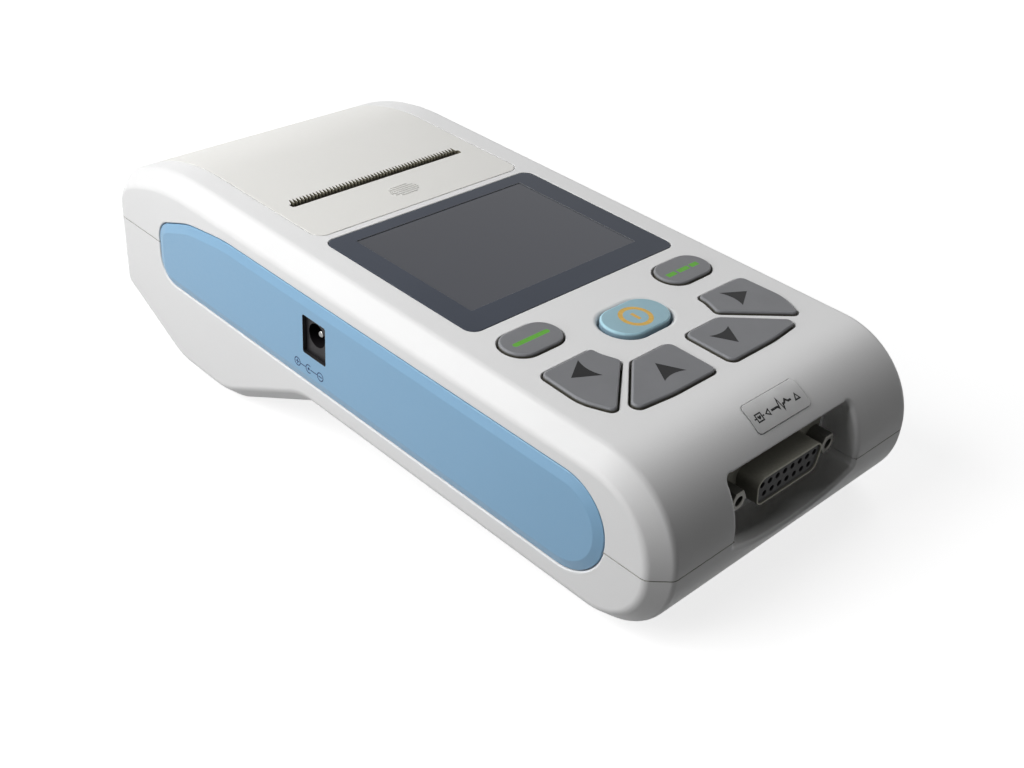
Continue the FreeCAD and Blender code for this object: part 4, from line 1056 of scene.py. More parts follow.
def door_mouth(holes, inner_holes):
    """The opening for the paper door: its rounded rim, and the relief round the hinge's barrel."""
    rim_round, corner_round = 0.16, 3.85
    half = DOOR_HALF + DOOR_GAP
    front = DECK_START + DOOR_FRONT - DOOR_GAP
    rear_angle = arc_crossing(REAR_ROUND, BARREL_RELIEF, 1)
    rear = station_at(*rear_point(rear_angle, REAR_ROUND))
    corners = [(-half, rear), (-half, front), (half, front), (half, rear)]
    mouth = outline(corners, [0, corner_round, corner_round, 0], 0.35, 1.0, False)
    grown = shifted(mouth, rim_round)
    patches = carry(*on_surface(skin, grown, -1.0), quarter(rim_round, WALL), False)
    holes.append(grown[0])
    inner_holes.append(mouth[0])
    inner_angle = arc_crossing(REAR_ROUND - WALL, BARREL_RELIEF, 1)
    outer_end = rear_point(rear_angle, REAR_ROUND) - HINGE
    inner_end = rear_point(inner_angle, REAR_ROUND - WALL) - HINGE
    first, last = (math.atan2(end[1], end[0]) for end in (outer_end, inner_end))
    spoke = spokes(first + (last - first) * np.linspace(0, 1, 12))
    relief = HINGE + BARREL_RELIEF * spoke
    reach = half + rim_round
    patches.append(strip(at_x(-reach, relief), at_x(reach, relief), at_x(0.0, -spoke)))
    return patches


def make_upper_case(white, seam_shade):
    low, high = SEAM + SEAM_EDGE, REAR_PART - SEAM - SEAM_EDGE
    patches = [band(side, low, high) for side in (-1, 1)]
    holes = []
    inner_holes = []
    for name, (corners, rounds) in KEYS.items():
        shape = shifted(outline(on_deck(corners), rounds), KEY_GAP)
        is_power = name == "key_power"
        section = quarter(POWER_DISH, WALL, 9) if is_power else quarter(KEY_RIM, WALL)
        patches += opening(skin, shape, section, holes)
        inner_holes.append(shape[0])

    seat = shifted(outline(on_deck(WINDOW), WINDOW_ROUND), WINDOW_GAP)
    view = outline(on_deck(VIEW), 0.5)
    ledge = swept(SIDE, WINDOW_DEPTH)
    patches += opening(skin, seat, quarter(0.25, WINDOW_DEPTH), holes)
    patches.append(fill(ledge, [seat[0], view[0]]))
    patches += carry(*on_surface(ledge, view, -1.0), quarter(0.1, WALL - WINDOW_DEPTH), True)
    inner_holes.append(view[0])

    patches += door_mouth(holes, inner_holes)

    seat_low, seat_high = arc_on_nose(LABEL_LOW - 0.3), arc_on_nose(LABEL_HIGH + 0.3)
    seat = rectangle(LABEL_LEFT - 0.12, LABEL_RIGHT + 0.12, seat_low, seat_high)
    seat = outline(seat, 1.3, 0.3, 1.0)
    patches += opening(skin, seat, quarter(0.08, LABEL_SEAT, 3), holes)
    patches.append(fill(swept(SIDE, LABEL_SEAT), [seat[0]], curved_points(seat_low, seat_high, 12)))

    mouth, notch = recess_edge(True)
    notch[:, 1] = np.maximum(notch[:, 1], low)
    patches += mouth
    stations = span(low, high)
    outer = np.vstack([at_x(FLAT_HALF, stations), at_x(-FLAT_HALF, stations[::-1]), notch[::-1]])
    patches.append(fill(skin, [outer, *holes], curved_points(low, high, FLAT_HALF)))
    for side in (-1, 1):
        patches += side_walls(side, low, high, quarter(0.35, SEAT_DEPTH), True)
    patches += part_lips(seat_ends(), True)
    patches += inner_walls(DECK_START + INNER_FRONT, REAR_PART - SEAM, inner_holes, True)
    build("upper_case_moulding", patches, "housing", "case_white", [white, seam_shade], "upper_case")


def make_lower_case(white, seam_shade):
    low, high = REAR_PART + SEAM + SEAM_EDGE, AROUND - SEAM - SEAM_EDGE
    patches = [band(side, low, high) for side in (-1, 1)]
    holes = []
    for x, y, z in FEET:
        seat = circle((x, station_at(y, z)), FOOT_SEAT_R)
        patches += opening(skin, seat, quarter(0.3, FOOT_SEAT_DEPTH), holes)
        patches.append(fill(swept(SIDE, FOOT_SEAT_DEPTH), [seat[0]]))
    for x, y in SCREW_WAYS:
        for side in (-1, 1):
            way = circle((side * x, station_at(y, 0.0)), SCREW_WAY_R)
            patches += opening(skin, way, quarter(0.1, SCREW_WAY_DEPTH), holes)
    mouth, notch = recess_edge(False)
    notch[:, 1] = np.minimum(notch[:, 1], high)
    patches += mouth
    stations = span(low, high)
    outer = np.vstack([at_x(-FLAT_HALF, stations), notch, at_x(FLAT_HALF, stations[::-1])])
    patches.append(fill(skin, [outer, *holes], curved_points(low, high, FLAT_HALF)))
    for side in (-1, 1):
        patches += side_walls(side, low, high, quarter(0.5, SEAT_DEPTH, 7), False)
    patches += part_lips(seat_ends(), False)
    patches += inner_walls(REAR_PART + SEAM, station_at(INNER_FRONT, 0.0), [], False)
    build("lower_case_moulding", patches, "housing", "case_white", [white, seam_shade], "lower_case")


# ------------------------------------------------------------------ panels, screen and keys


def bar(start, end, width):
    """A square-ended stroke from one point to another, as a loop."""
    start, end = np.asarray(start, float), np.asarray(end, float)
    run = (end - start) / np.linalg.norm(end - start)
    side = np.array([-run[1], run[0]]) * width / 2
    return np.array([start - side, end - side, end + side, start + side])


def stadium(low, high, middle, width, count=12):
    """A round-ended bar along the first direction, as a loop."""
    turn = np.linspace(-math.pi / 2, math.pi / 2, count)
    half = width / 2
    right = np.stack([high - half + half * np.cos(turn), middle + half * np.sin(turn)], -1)
    left = np.stack([low + half - half * np.cos(turn), middle - half * np.sin(turn)], -1)
    return np.vstack([right, left])


def ring(centre, radius, width, count=48):
    return [circle(centre, radius, count)[0], circle(centre, radius - width, count)[0]]


def letter_c(centre, radius, width, opening):
    """An arc open on its left, the mark for the outer contact."""
    spoke = spokes(np.linspace(math.pi + opening, 3 * math.pi - opening, 40))
    return np.asarray(centre) + np.vstack([radius * spoke, (radius - width) * spoke[::-1]])


def plus(centre, half, width):
    """A plus sign's twelve corners."""
    h = width / 2
    arms = [(h, -half), (h, -h), (half, -h), (half, h), (h, h), (h, half),
            (-h, half), (-h, h), (-half, h), (-half, -h), (-h, -h), (-h, -half)]
    return np.asarray(centre) + np.array(arms)


def polarity_figure():
    """Plus ring, outer contact round its dot, minus ring, and the lines that join them."""
    plus_at, middle, minus_at = (121.3, 14.4), (116.6, 14.4), (111.8, 14.4)
    line = 0.3
    return [
        *ring(plus_at, 1.3, line), plus(plus_at, 0.75, line),
        letter_c(middle, 1.3, line, 0.9), circle(middle, 0.42, 24)[0],
        *ring(minus_at, 1.3, line), bar((111.05, 14.4), (112.55, 14.4), line),
        bar((119.95, 14.4), (117.95, 14.4), line), bar((115.9, 14.4), (113.15, 14.4), line),
    ]


def make_inlay(side, blue, ink, black):
    """A side panel with its broad bevel; the left one has the inlet's hole, with a black edge."""
    name, looks, marks = "right", [blue], []
    surface = side_plane(side, INLAY_FACE)
    shape = outline(INLAY, INLAY_ROUNDS, 0.5, 6.0)
    patches, loop = edge(surface, shape, bevel(INLAY_BEVEL, INLAY_DROP, 1.6, 0.3, INLAY_THICK))
    front, back = [loop], [shape[0]]
    if side < 0:
        name, looks, marks = "left", [blue, ink, black], [(1, polarity_figure())]
        hole = outline(INLET, 0.5)
        walls, loop = edge(surface, hole, quarter(0.08, INLAY_THICK), True, 2)
        patches += walls
        front.append(loop)
        back.append(hole[0])
    patches += printed(surface, front, marks)
    patches.append(fill(facing(side_plane(side, INLAY_FACE - INLAY_THICK), (-side, 0, 0)), back))
    build(f"{name}_side_panel", patches, "housing", "inlay_blue", looks, f"{name}_side_inlay")


def make_window(border, picture, frame_grey):
    """The window: its bordered face, and the display a little below it in a frame of its own."""
    top = deck_plane(DECK)
    glass = outline(WINDOW, WINDOW_ROUND)
    view = outline(PICTURE, 0.3)
    sides, loop = edge(top, glass, quarter(0.25, WINDOW_DEPTH))
    walls, view_loop = edge(top, view, quarter(0.04, PICTURE_DEPTH, 3), True, 2)
    patches = [
        *sides,
        *walls,
        fill(top, [loop, view_loop]),
        fill(deck_plane(DECK - PICTURE_DEPTH), [view[0]], None, 1),
        fill(facing(deck_plane(DECK - WINDOW_DEPTH), (0, 0, -1)), [glass[0]]),
    ]
    looks = [border, picture, frame_grey]
    build("screen_glass", patches, "housing", "window", looks, "screen_window")


def arrow(tip, base_a, base_b):
    """An arrowhead: straight sides from its tip and a base curved in towards it."""
    hollow = 0.14
    tip, base_a, base_b = (np.asarray(point, float) for point in (tip, base_a, base_b))
    middle = (base_a + base_b) / 2
    share = np.linspace(0.0, 1.0, 15)[:, None]
    base = base_a + share * (base_b - base_a) + 4 * share * (1 - share) * hollow * (tip - middle)
    loop = np.vstack([tip, base])
    area = np.cross(base_a - tip, base_b - tip)
    return loop if area > 0 else loop[::-1]


MODE_BARS = ((20.4, 23.6), (24.5, 28.5), (29.2, 32.1))
KEY_MARKS = {
    "key_print": [stadium(-32.7, -21.3, 60.2, 1.4)],
    "key_mode": [bar((low, 59.9), (high, 59.9), 1.5) for low, high in MODE_BARS],
    "key_power": [*ring((-0.5, 51.9), 4.3, 1.2, 64), bar((-0.5, 50.4), (-0.5, 53.4), 1.0)],
    "key_left": [arrow((-31.7, 43.1), (-25.23, 47.16), (-25.25, 39.53))],
    "key_up": [arrow((-12.39, 35.57), (-16.17, 29.38), (-8.86, 29.2))],
    "key_right": [arrow((30.71, 42.92), (24.4, 39.27), (24.28, 46.59))],
    "key_down": [arrow((10.01, 29.28), (13.63, 35.37), (6.47, 35.32))],
}


def make_key(name, rubber, ink, edge_radius, slot_name):
    """A key cap: a faint crown, a rounded edge, straight walls, and the lip that holds it in."""
    corners, rounds = KEYS[name]
    lip = shifted(outline(corners, rounds), KEY_LIP - KEY_TRIM)
    tall = DECK + KEY_PROUD - KEY_LIP_TOP
    crown_start = 0.06
    wall = crown_start + KEY_CROWN[0] + edge_radius
    reach = wall + KEY_LIP
    rows = [(0.0, 0.0), (crown_start, 0.0), (wall, KEY_CROWN[1]), (wall, tall)]
    section = np.vstack([
        section_of(path_of(rows, [0.0, 1.0, edge_radius, 0.0], False), edge_radius / 6),
        [(wall, tall, 0.0, 1.0), (reach, tall, 0.0, 1.0), (reach, tall, 1.0, 0.0)],
        (reach, tall + KEY_LIP_THICK, 1.0, 0.0),
    ])
    patches = cap(deck_plane(DECK + KEY_PROUD), lip, section, [(1, KEY_MARKS[name])])
    build(f"{name}_cap", patches, name, slot_name, [rubber, ink], name)


# ------------------------------------------------------------------ paper door


def door_path():
    """The door's outside seen from the side: forward edge, bend, slope, and round the barrel."""
    corners = [(DOOR_FRONT, DECK), (BEND_Y, DECK), (LENGTH, REAR_TOP_Z), (LENGTH, 0.0)]
    path = path_of(corners, [0.0, BEND_ROUND, REAR_ROUND, 0.0], False)
    path["length"][3] = REAR_ROUND * (HINGE_TILT - BEND_SLOPE)
    path["x"][4], path["y"][4] = HINGE + BARREL_R * HINGE_DIRECTION
    path["angle"][4] = -HINGE_TILT
    path["bend"][4] = -1 / BARREL_R
    path["length"][4] = BARREL_R * math.radians(285.4)
    path["at"] = np.r_[0.0, np.cumsum(path["length"])]
    return path


DOOR = door_path()
DOOR_SKIN_END = float(DOOR["at"][4])
door_skin = swept(DOOR)


def slot_shape():
    """The paper slot, with its saw of tear teeth along the rear edge."""
    low = SLOT_FRONT - DOOR_FRONT
    high = low + SLOT_WIDE
    left = SLOT_HALF - 0.7
    pitch = 2 * left / TEETH
    saw = np.empty((2 * TEETH + 1, 2))
    saw[0::2] = np.stack([left - pitch * np.arange(TEETH + 1), np.full(TEETH + 1, high)], -1)
    saw[1::2] = saw[0:-1:2] + (-0.08 * pitch, TOOTH)
    ends = [(-SLOT_HALF, low), (SLOT_HALF, low), (SLOT_HALF, high)]
    corners = [*ends, *saw.tolist(), (-SLOT_HALF, high)]
    rounds = [0.7, 0.7, 0.3, *[0.06] * len(saw), 0.3]
    return outline(np.array(corners) + (SLOT_SHIFT, 0.0), rounds, 0.1)


def finger_grip():
    """Short ribs across the door, cut to the outline of an oval."""
    oval_x, oval_y, rib_pitch, rib_width = 4.6, 2.95, 0.96, 0.56
    patches = []
    for offset in np.arange(-2.4, 2.5, rib_pitch):
        half = oval_x * math.sqrt(1 - (offset / oval_y) ** 2) + 0.25
        loop = stadium(-half, half, GRIP_Y + offset, rib_width, 9)
        run = np.roll(loop, -1, 0) - np.roll(loop, 1, 0)
        flow = np.stack([run[:, 1], -run[:, 0]], -1) / np.linalg.norm(run, axis=1, keepdims=True)
        patches += cap(deck_plane(DECK + 0.2), (loop, flow), quarter(0.22, 0.4, 6))
    return patches


def platen_ears():
    """The two ears under the door that hold the platen roller."""
    outer_x, thick, round_by = 30.6, 1.4, 0.15
    half_wide, below, bore_r = 4.6, 4.2, 3.2
    y, z = PLATEN_AXIS
    ear = rectangle(y - half_wide, y + half_wide, z - below, DECK - 1.0)
    ear = outline(ear, [3.5, 3.5, 0.2, 0.2])
    bore = circle(PLATEN_AXIS, bore_r, 40)
    section = quarter(round_by, thick, 4)
    patches = []
    for side in (-1, 1):
        for face_x, sense in ((outer_x, 1), (outer_x - thick, -1)):
            plane = facing(side_plane(side, face_x), (side * sense, 0, 0))
            patches.append(fill(plane, [shifted(ear, -round_by)[0], shifted(bore, round_by)[0]]))
        outside = side_plane(side, outer_x)
        patches += edge(outside, ear, section)[0]
        patches += edge(outside, bore, section, True)[0]
    return patches


def make_door(cream, painted_slot_shade):
    section = quarter(0.16, DOOR_THICK)
    half, end = DOOR_HALF, DOOR_SKIN_END
    corners = [(-half, end), (-half, 0.0), (half, 0.0), (half, end)]
    front = outline(corners, [0, DOOR_ROUND, DOOR_ROUND, 0], 0.35, 1.0, False)
    inner = shifted(front, -section[-1][0])
    patches = carry(*on_surface(door_skin, inner), section, False)
    slot = slot_shape()
    # the slot's walls take the second slot: a dark olive painted shade, lifted a little for light
    # bounced into the slot
    walls, slot_loop = edge(door_skin, slot, quarter(0.06, DOOR_THICK, 4), True, 1)
    patches += walls
    rows = np.arange(45.0, end - 0.3, 0.9)
    extra = np.stack(np.meshgrid(np.arange(-34.0, 35.0, 4.0), rows), -1).reshape(-1, 2)
    patches.append(fill(door_skin, [inner[0], slot_loop], extra))
    patches.append(fill(underside(door_skin, DOOR_THICK), [front[0], slot[0]], extra))
    barrel = tube((-half, *HINGE), (1, 0, 0), BARREL_R, HINGE_BORE_R, 2 * half, 0.35, 72)
    patches.append(barrel)
    patches += finger_grip() + platen_ears()
    build("paper_door_cover", patches, "door", "door_white", [cream, painted_slot_shade], "paper_door")


# ------------------------------------------------------------------ label, socket, inlet, feet


def square(centre, reach):
    """A square loop about a centre."""
    corners = [(-reach, -reach), (reach, -reach), (reach, reach), (-reach, reach)]
    return np.asarray(centre) + np.array(corners)


def heart(centre, scale):
    """The usual heart curve of sine and cosine terms, as a loop."""
    turn = np.linspace(0, 2 * math.pi, 32, endpoint=False)
    x = 16 * np.sin(turn) ** 3
    y = 13 * np.cos(turn) - 5 * np.cos(2 * turn) - 2 * np.cos(3 * turn) - np.cos(4 * turn)
    return np.asarray(centre) + scale * np.stack([x, y], -1)


def hollow_triangle(*corners):
    """A triangle and the smaller one that hollows it."""
    corners = np.asarray(corners, float)
    middle = corners.mean(0)
    return [corners, middle + 0.42 * (corners - middle)]


def stroke(points, half_width):
    """A mitred line through points, as a loop: at each bend it is moved along the mean of its
    two sides' normals, by the half width over the cosine between them."""
    run = np.diff(points, axis=0)
    across = np.stack([-run[:, 1], run[:, 0]], -1) / np.linalg.norm(run, axis=1, keepdims=True)
    mitre = np.vstack([across[:1], (across[:-1] + across[1:]), across[-1:]])
    mitre /= np.linalg.norm(mitre, axis=1, keepdims=True)
    cosine = np.r_[1.0, np.einsum("ij,ij->i", mitre[1:-1], across[1:]), 1.0]
    mitre *= (half_width / np.maximum(cosine, 0.5))[:, None]
    return np.vstack([points - mitre, (points + mitre)[::-1]])


def label_figure():
    """Generic marks: a heart in a box with a paddle each side, an arrow, a pulse and a peak."""
    base = (arc_on_nose(LABEL_LOW) + arc_on_nose(LABEL_HIGH)) / 2 - 0.4
    box_x, half, line = -5.95, 1.1, 0.36
    box_at = (box_x, base)
    paddles = [
        bar((side * (half + 0.02) + box_x, base), (side * (half + 0.6) + box_x, base), line)
        for side in (-1, 1)
    ]
    pointer = hollow_triangle((-3.95, base), (-2.25, base - 1.0), (-2.25, base + 1.0))
    peak = hollow_triangle((6.3, base - 0.95), (8.5, base - 0.95), (7.4, base + 1.0))
    beat = np.array([
        (-1.75, 0), (0.55, 0), (0.95, -0.5), (1.55, 1.75), (2.2, -1.25),
        (2.6, 0), (3.1, 0), (3.75, 0.7), (4.4, 0), (5.5, 0),
    ]) + (0.0, base)
    boxed = [square(box_at, half), square(box_at, half - line), heart(box_at, 0.038)]
    return [*boxed, *paddles, *pointer, *peak, stroke(beat, 0.27)]


def make_label(foil, ink):
    low, high = arc_on_nose(LABEL_LOW), arc_on_nose(LABEL_HIGH)
    shape = outline(rectangle(LABEL_LEFT, LABEL_RIGHT, low, high), 1.2, 0.2, 0.8)
    rows = np.arange(low + 0.5, high - 0.3, 0.6)
    columns = np.arange(LABEL_LEFT + 1.0, LABEL_RIGHT - 0.5, 1.2)
    extra = np.stack(np.meshgrid(columns, rows), -1).reshape(-1, 2)
    face = swept(SIDE, -LABEL_PROUD)
    patches = cap(face, shape, quarter(0.1, 0.35, 4), [(1, label_figure())], extra)
    build("nose_label", patches, "housing", "label_silver", [foil, ink], "label_plate")


def socket_plane(y):
    """A plane facing out of the nose recess, with u across and v up from the socket's middle."""
    return flat((0.0, y, SOCKET_Z), (1, 0, 0), (0, 0, 1))


def socket_planes(y):
    """Such planes by their depth behind y."""
    return lambda depth: socket_plane(y + depth)


SHELL = [(-11.05, -3.95), (11.05, -3.95), (12.4, 3.95), (-12.4, 3.95)]
SHELL_ROUND = 2.4
JACKSCREW_X = 16.66
CONTACT_PITCH = 2.77
CONTACT_ROW = 1.42
CONTACTS = [
    ((place_in_row - (count - 1) / 2) * CONTACT_PITCH, z)
    for count, z in ((8, CONTACT_ROW), (7, -CONTACT_ROW))
    for place_in_row in range(count)
]


def make_shell(plating):
    mouth_y, plate_y, back_y = 3.5, 9.5, 10.5
    thick, plate_half, plate_tall = 0.45, 19.57, 6.25
    shape = outline(SHELL, SHELL_ROUND)
    hollow = shifted(shape, -thick)
    mouth = socket_plane(mouth_y)
    outside, outer_loop = edge(mouth, shape, quarter(0.2, plate_y - mouth_y))
    within, inner_loop = edge(mouth, hollow, quarter(0.2, back_y - mouth_y), True)
    patches = [*outside, *within, fill(mouth, [outer_loop, inner_loop])]
    flange = outline(rectangle(-plate_half, plate_half, -plate_tall, plate_tall), 1.6)
    plate = socket_plane(plate_y)
    sides, loop = edge(plate, flange, quarter(0.25, back_y - plate_y))
    patches += [*sides, fill(plate, [loop, shape[0]])]
    back = facing(socket_plane(back_y), (0, 1, 0))
    patches.append(fill(back, [flange[0], hollow[0]]))
    build("socket_shell", patches, "housing", "socket_plating", [plating], "patient_socket_shell")


def make_insulator(black):
    face_y, depth, hole_r, hole_depth = 4.0, 10.0, 0.75, 3.0
    shape = shifted(outline(SHELL, SHELL_ROUND), -0.5)
    hole_section = quarter(0.12, hole_depth, 4)
    holes = [(circle(centre, hole_r, 24), hole_section, 0) for centre in CONTACTS]
    patches = block(socket_planes(face_y), shape, quarter(0.15, depth), (0, 1, 0), holes)
    build("socket_block", patches, "housing", "black_moulding", [black],
          "patient_socket_insulator")


def make_contacts(brass):
    front_y, outer, inner, length = 5.0, 0.7, 0.5, 2.1
    patches = [
        tube((x, front_y, SOCKET_Z + z), (0, 1, 0), outer, inner, length, 0.08, 24)
        for x, z in CONTACTS
    ]
    build("socket_contacts", patches, "housing", "contact_brass", [brass],
          "patient_socket_contacts")


def make_jackscrews(steel):
    patches = []
    face_y, depth, nut_r, bore_r, bore_depth = 4.7, 4.8, 2.75, 1.22, 4.0
    for side in (-1, 1):
        centre = np.array([side * JACKSCREW_X, 0.0])
        nut = outline(centre + nut_r * spokes(np.arange(6) * math.pi / 3), 0.25)
        bore = (circle(centre, bore_r, 32), quarter(0.3, bore_depth), 0)
        patches += block(socket_planes(face_y), nut, quarter(0.35, depth), (0, 1, 0), [bore])
    build("socket_jackscrews", patches, "housing", "screw_steel", [steel], "jackscrews")


def make_inlet(black, bore_black, steel):
    face_x, depth, bore_depth = 47.0, 14.0, 11.0
    body = outline(rectangle(109.75, 118.65, 18.75, 29.45), 0.3)
    bore = (circle(INLET_BORE, INLET_BORE_R), quarter(0.12, bore_depth), 1)

    def plane(down):
        return side_plane(-1, face_x - down)

    patches = block(plane, body, quarter(0.2, depth), (1, 0, 0), [bore])
    build("inlet_block", patches, "housing", "black_moulding", [black, bore_black],
          "power_jack_housing")
    pin_r, pin_length, pin_round = 1.0, 10.0, 0.45
    foot = (bore_depth - face_x, *INLET_BORE)
    pin = [rod(foot, (-1, 0, 0), pin_r, pin_length, pin_round)]
    build("inlet_pin", pin, "housing", "screw_steel", [steel], "power_jack_pin")


def make_feet(rubber):
    """Four turned feet: a rounded rim round a slightly hollowed face."""
    down = TURN.T @ (0.0, 0.0, -1.0)
    rows = [
        (-0.6, 0.0, -1.0, 0.0), (-0.6, 4.5, -1.0, 0.0), (-0.6, 4.5, 0.0, 1.0), (1.1, 4.5, 0.0, 1.0),
        *corner_rows(1.1, 4.0, 0.5, 0, 90),
        (1.6, 3.0, 1.0, 0.0), (1.6, 3.0, 0.9, -0.4), (1.35, 2.4, 0.9, -0.4), (1.35, 2.4, 1.0, 0.0),
        (1.35, 0.0, 1.0, 0.0),
    ]
    patches = [turned(rows, centre, down) for centre in FEET]
    build("feet", patches, "housing", "foot_rubber", [rubber], "rubber_feet")


# ------------------------------------------------------------------ finishes


def shade(red, green, blue):
    """A colour from its 0-255 screen values to the linear values that shaders take."""
    values = np.array([red, green, blue]) / 255.0
    linear = np.where(values <= 0.04045, values / 12.92, ((values + 0.055) / 1.055) ** 2.4)
    return tuple(float(value) for value in linear)


def silicone(name, colour, foot=0.42):
    """Key rubber: satin, with faint flow marks, a painted highlight along its rim and painted shade
    on its walls near its foot.
    """
    n = material_nodes(name)
    height = n.device_place()[2]
    top = DECK + KEY_PROUD
    # share: 0 at the wall's foot, 1 from 0.4 mm above the deck; below that the wall fades into
    # painted shade
    share = n.ranged(height, (DECK - 0.1) / 1000, (DECK + 0.4) / 1000)
    # rim: a painted highlight; from just below the top face, the rounded edge and walls are made
    # paler
    rim = n.ranged(height, (top - 0.012) / 1000, (top - 0.05) / 1000)
    body = n.mix(rim, n.tones(n.patchy(120.0, 3.0), colour, 0.96, 1.04), tone(colour, 1.42))
    # the painted shade at the foot: the colour darkened by foot, browner where foot is low
    red, green, blue = (channel * foot for channel in colour[:3])
    body = n.mix(share, (red, green * 0.93, blue * (0.3 + foot * 0.95), 1.0), body)
    fine = n.bump(n.noise(5200.0, 2.0, 0.6), 0.000008, 0.5)
    return n.finish(body, 0.5, fine, Specular_IOR_Level=0.22)


def print_ink(name, colour):
    """Screen-printed ink: slightly uneven in density, with a faint grain."""
    n = material_nodes(name)
    body = n.tones(n.patchy(900.0, 3.0), colour, 0.9, 1.08)
    return n.finish(body, 0.5, n.bump(n.noise(6000.0, 2.0), 0.000006, 0.4), Specular_IOR_Level=0.12)


def glass_border(name, colour):
    """The printed back of the window seen through its gloss."""
    n = material_nodes(name)
    body = n.tones(n.patchy(30.0, 3.0), colour, 0.93, 1.07)
    smear = n.ranged(n.noise(55.0, 4.0), 0.35, 0.7, 0.04, 0.11)
    return n.finish(body, smear, n.bump(n.noise(40.0, 2.0), 0.00003, 0.15), Specular_IOR_Level=0.1)


def sleeping_picture(name, colour):
    """The display with nothing on it: fine picture rows, and a painted reflection that makes it
    paler towards its front right corner.
    """
    n = material_nodes(name)
    row_pitch = 0.00033
    x, y, _ = n.device_place()
    # slope runs from the rear left to the front right: a painted reflection across the glass
    slope = n.math("SUBTRACT", n.math("MULTIPLY", x, 5.0), n.math("MULTIPLY", y, 6.0))
    body = n.tones(n.ranged(slope, -0.87, -0.4), colour, 0.8, 1.06)
    lines = n.waves(y, row_pitch, 1.0)
    body = n.mix(n.math("MULTIPLY", lines, 0.12), body, tone(colour, 0.7))
    smear = n.ranged(n.noise(55.0, 4.0), 0.35, 0.7, 0.05, 0.13)
    return n.finish(body, smear, Specular_IOR_Level=0.14)


def brushed_foil(name, colour):
    """Label stock: fine lines across the nose and an uneven dull sheen."""
    n = material_nodes(name)
    lines = n.stretched(9000.0, (0.04, 1.0, 1.0))
    body = n.tones(n.patchy(160.0, 4.0), colour, 0.93, 1.06)
    sheen = n.ranged(lines, 0.3, 0.7, 0.34, 0.5)
    return n.finish(body, sheen, n.bump(lines, 0.000004, 0.5), Metallic=0.35)


def wrapped(name, colour, second):
    """Two tones in irregular patches, for boards, windings and wraps."""
    n = material_nodes(name)
    patches = n.ranged(n.noise(420.0, 3.0), 0.46, 0.54)
    body = n.mix(patches, tone(colour, 1.0), tone(second, 1.0))
    return n.finish(body, 0.45, n.bump(n.noise(1500.0, 2.0), 0.00002, 0.4))


def paper_wound(name, colour):
    """Wound thermal paper: fine turns about the roll's axis on its ends, smooth on its face."""
    n = material_nodes(name)
    axis_y, axis_z, turn_pitch = 0.1777, 0.0044, 0.0005
    _, y, z = n.device_place()
    away_y = n.math("SUBTRACT", y, axis_y)
    away_z = n.math("SUBTRACT", z, axis_z)
    square = n.math("ADD", n.math("MULTIPLY", away_y, away_y), n.math("MULTIPLY", away_z, away_z))
    body = n.tones(n.waves(n.math("SQRT", square), turn_pitch, 0.35), colour, 1.0, 0.86)
    return n.finish(body, 0.7, n.bump(n.noise(2500.0, 3.0), 0.00001, 0.4))


# ------------------------------------------------------------------ settings


def colour_setting(name, description, *screen):
    """A colour whose default is given in 0-255 screen values."""
    return FloatVectorProperty(
        name=name, description=description, subtype="COLOR", default=shade(*screen),
        min=0.0, max=1.0)


class EcgMouldingSettings(bpy.types.PropertyGroup):
    white: colour_setting("Case", "Colour of the two case halves", 229, 229, 229)
    cream: colour_setting("Door", "Colour of the paper door", 226, 225, 221)
    blue: colour_setting("Side panels", "Colour of the side panels", 129, 171, 203)
    black: colour_setting("Connectors", "Colour of the inlet and socket mouldings", 30, 28, 30)
    roughness: FloatProperty(
        name="Roughness", description="How matt the moulded case is", subtype="FACTOR",
        default=0.46, min=0.1, max=1.0)
    grain: FloatProperty(
        name="Grain height", description="Height of the moulded grain", subtype="DISTANCE",
        unit="LENGTH", default=0.00003, min=0.0, max=0.0002, precision=5)


class EcgKeySettings(bpy.types.PropertyGroup):
    grey: colour_setting("Keys", "Colour of the grey keys", 117, 118, 121)
    power: colour_setting("Power key", "Colour of the power key", 151, 185, 197)
    mark: colour_setting("Arrows", "Ink of the arrows", 14, 14, 16)
    green: colour_setting("Green marks", "Ink of the two oval keys", 100, 172, 62)
    orange: colour_setting("Power mark", "Ink of the power key", 222, 180, 94)
    edge: FloatProperty(
        name="Edge radius", description="Rounding of the keys' upper edges", subtype="DISTANCE",
        unit="LENGTH", default=0.0006, min=0.0002, max=0.0009, precision=5)


class EcgScreenSettings(bpy.types.PropertyGroup):
    border: colour_setting("Border", "Print behind the window's edge", 61, 67, 79)
    picture: colour_setting("Display", "The display with its picture off", 78, 80, 87)


class EcgStageSettings(bpy.types.PropertyGroup):
    lamp_level: FloatProperty(
        name="Lamp level", description="Brightness of all the lamps together", default=1.0,
        min=0.0, max=10.0)
    fill_strength: FloatProperty(
        name="Room light", description="Strength of the light from all round", default=0.012,
        min=0.0, max=2.0)


# ------------------------------------------------------------------ operators

CASE_GRAIN = 2600.0
CASE_MOTTLE = 0.008
# grain, its height and the mottling of a smooth black moulding
SMOOTH_BLACK = (4000.0, 0.000006, 0.05)
LINES_ALONG_X = (0.2, 1.0, 1.0)
LINES_ALONG_PLATE = (0.3, 1.0, 1.0)


class ECG_OT_case(bpy.types.Operator):
    """Mould the two case halves, with their openings, seats and recess"""

    bl_idname = "ecg.case"
    bl_label = "Case"
    bl_options = {"REGISTER", "UNDO"}

    def execute(self, context):
        moulding = context.scene.ecg_moulding
        grain = (CASE_GRAIN, moulding.grain, CASE_MOTTLE)
        white = moulded("case_white_finish", moulding.white, moulding.roughness, *grain)
        # the parting line's lips: a darker grey that paints the groove's shade
        seam_shade = moulded("case_seam_painted_shade", shade(168, 167, 162), 0.6, *grain)
        make_upper_case(white, seam_shade)
        make_lower_case(white, seam_shade)
        return {"FINISHED"}


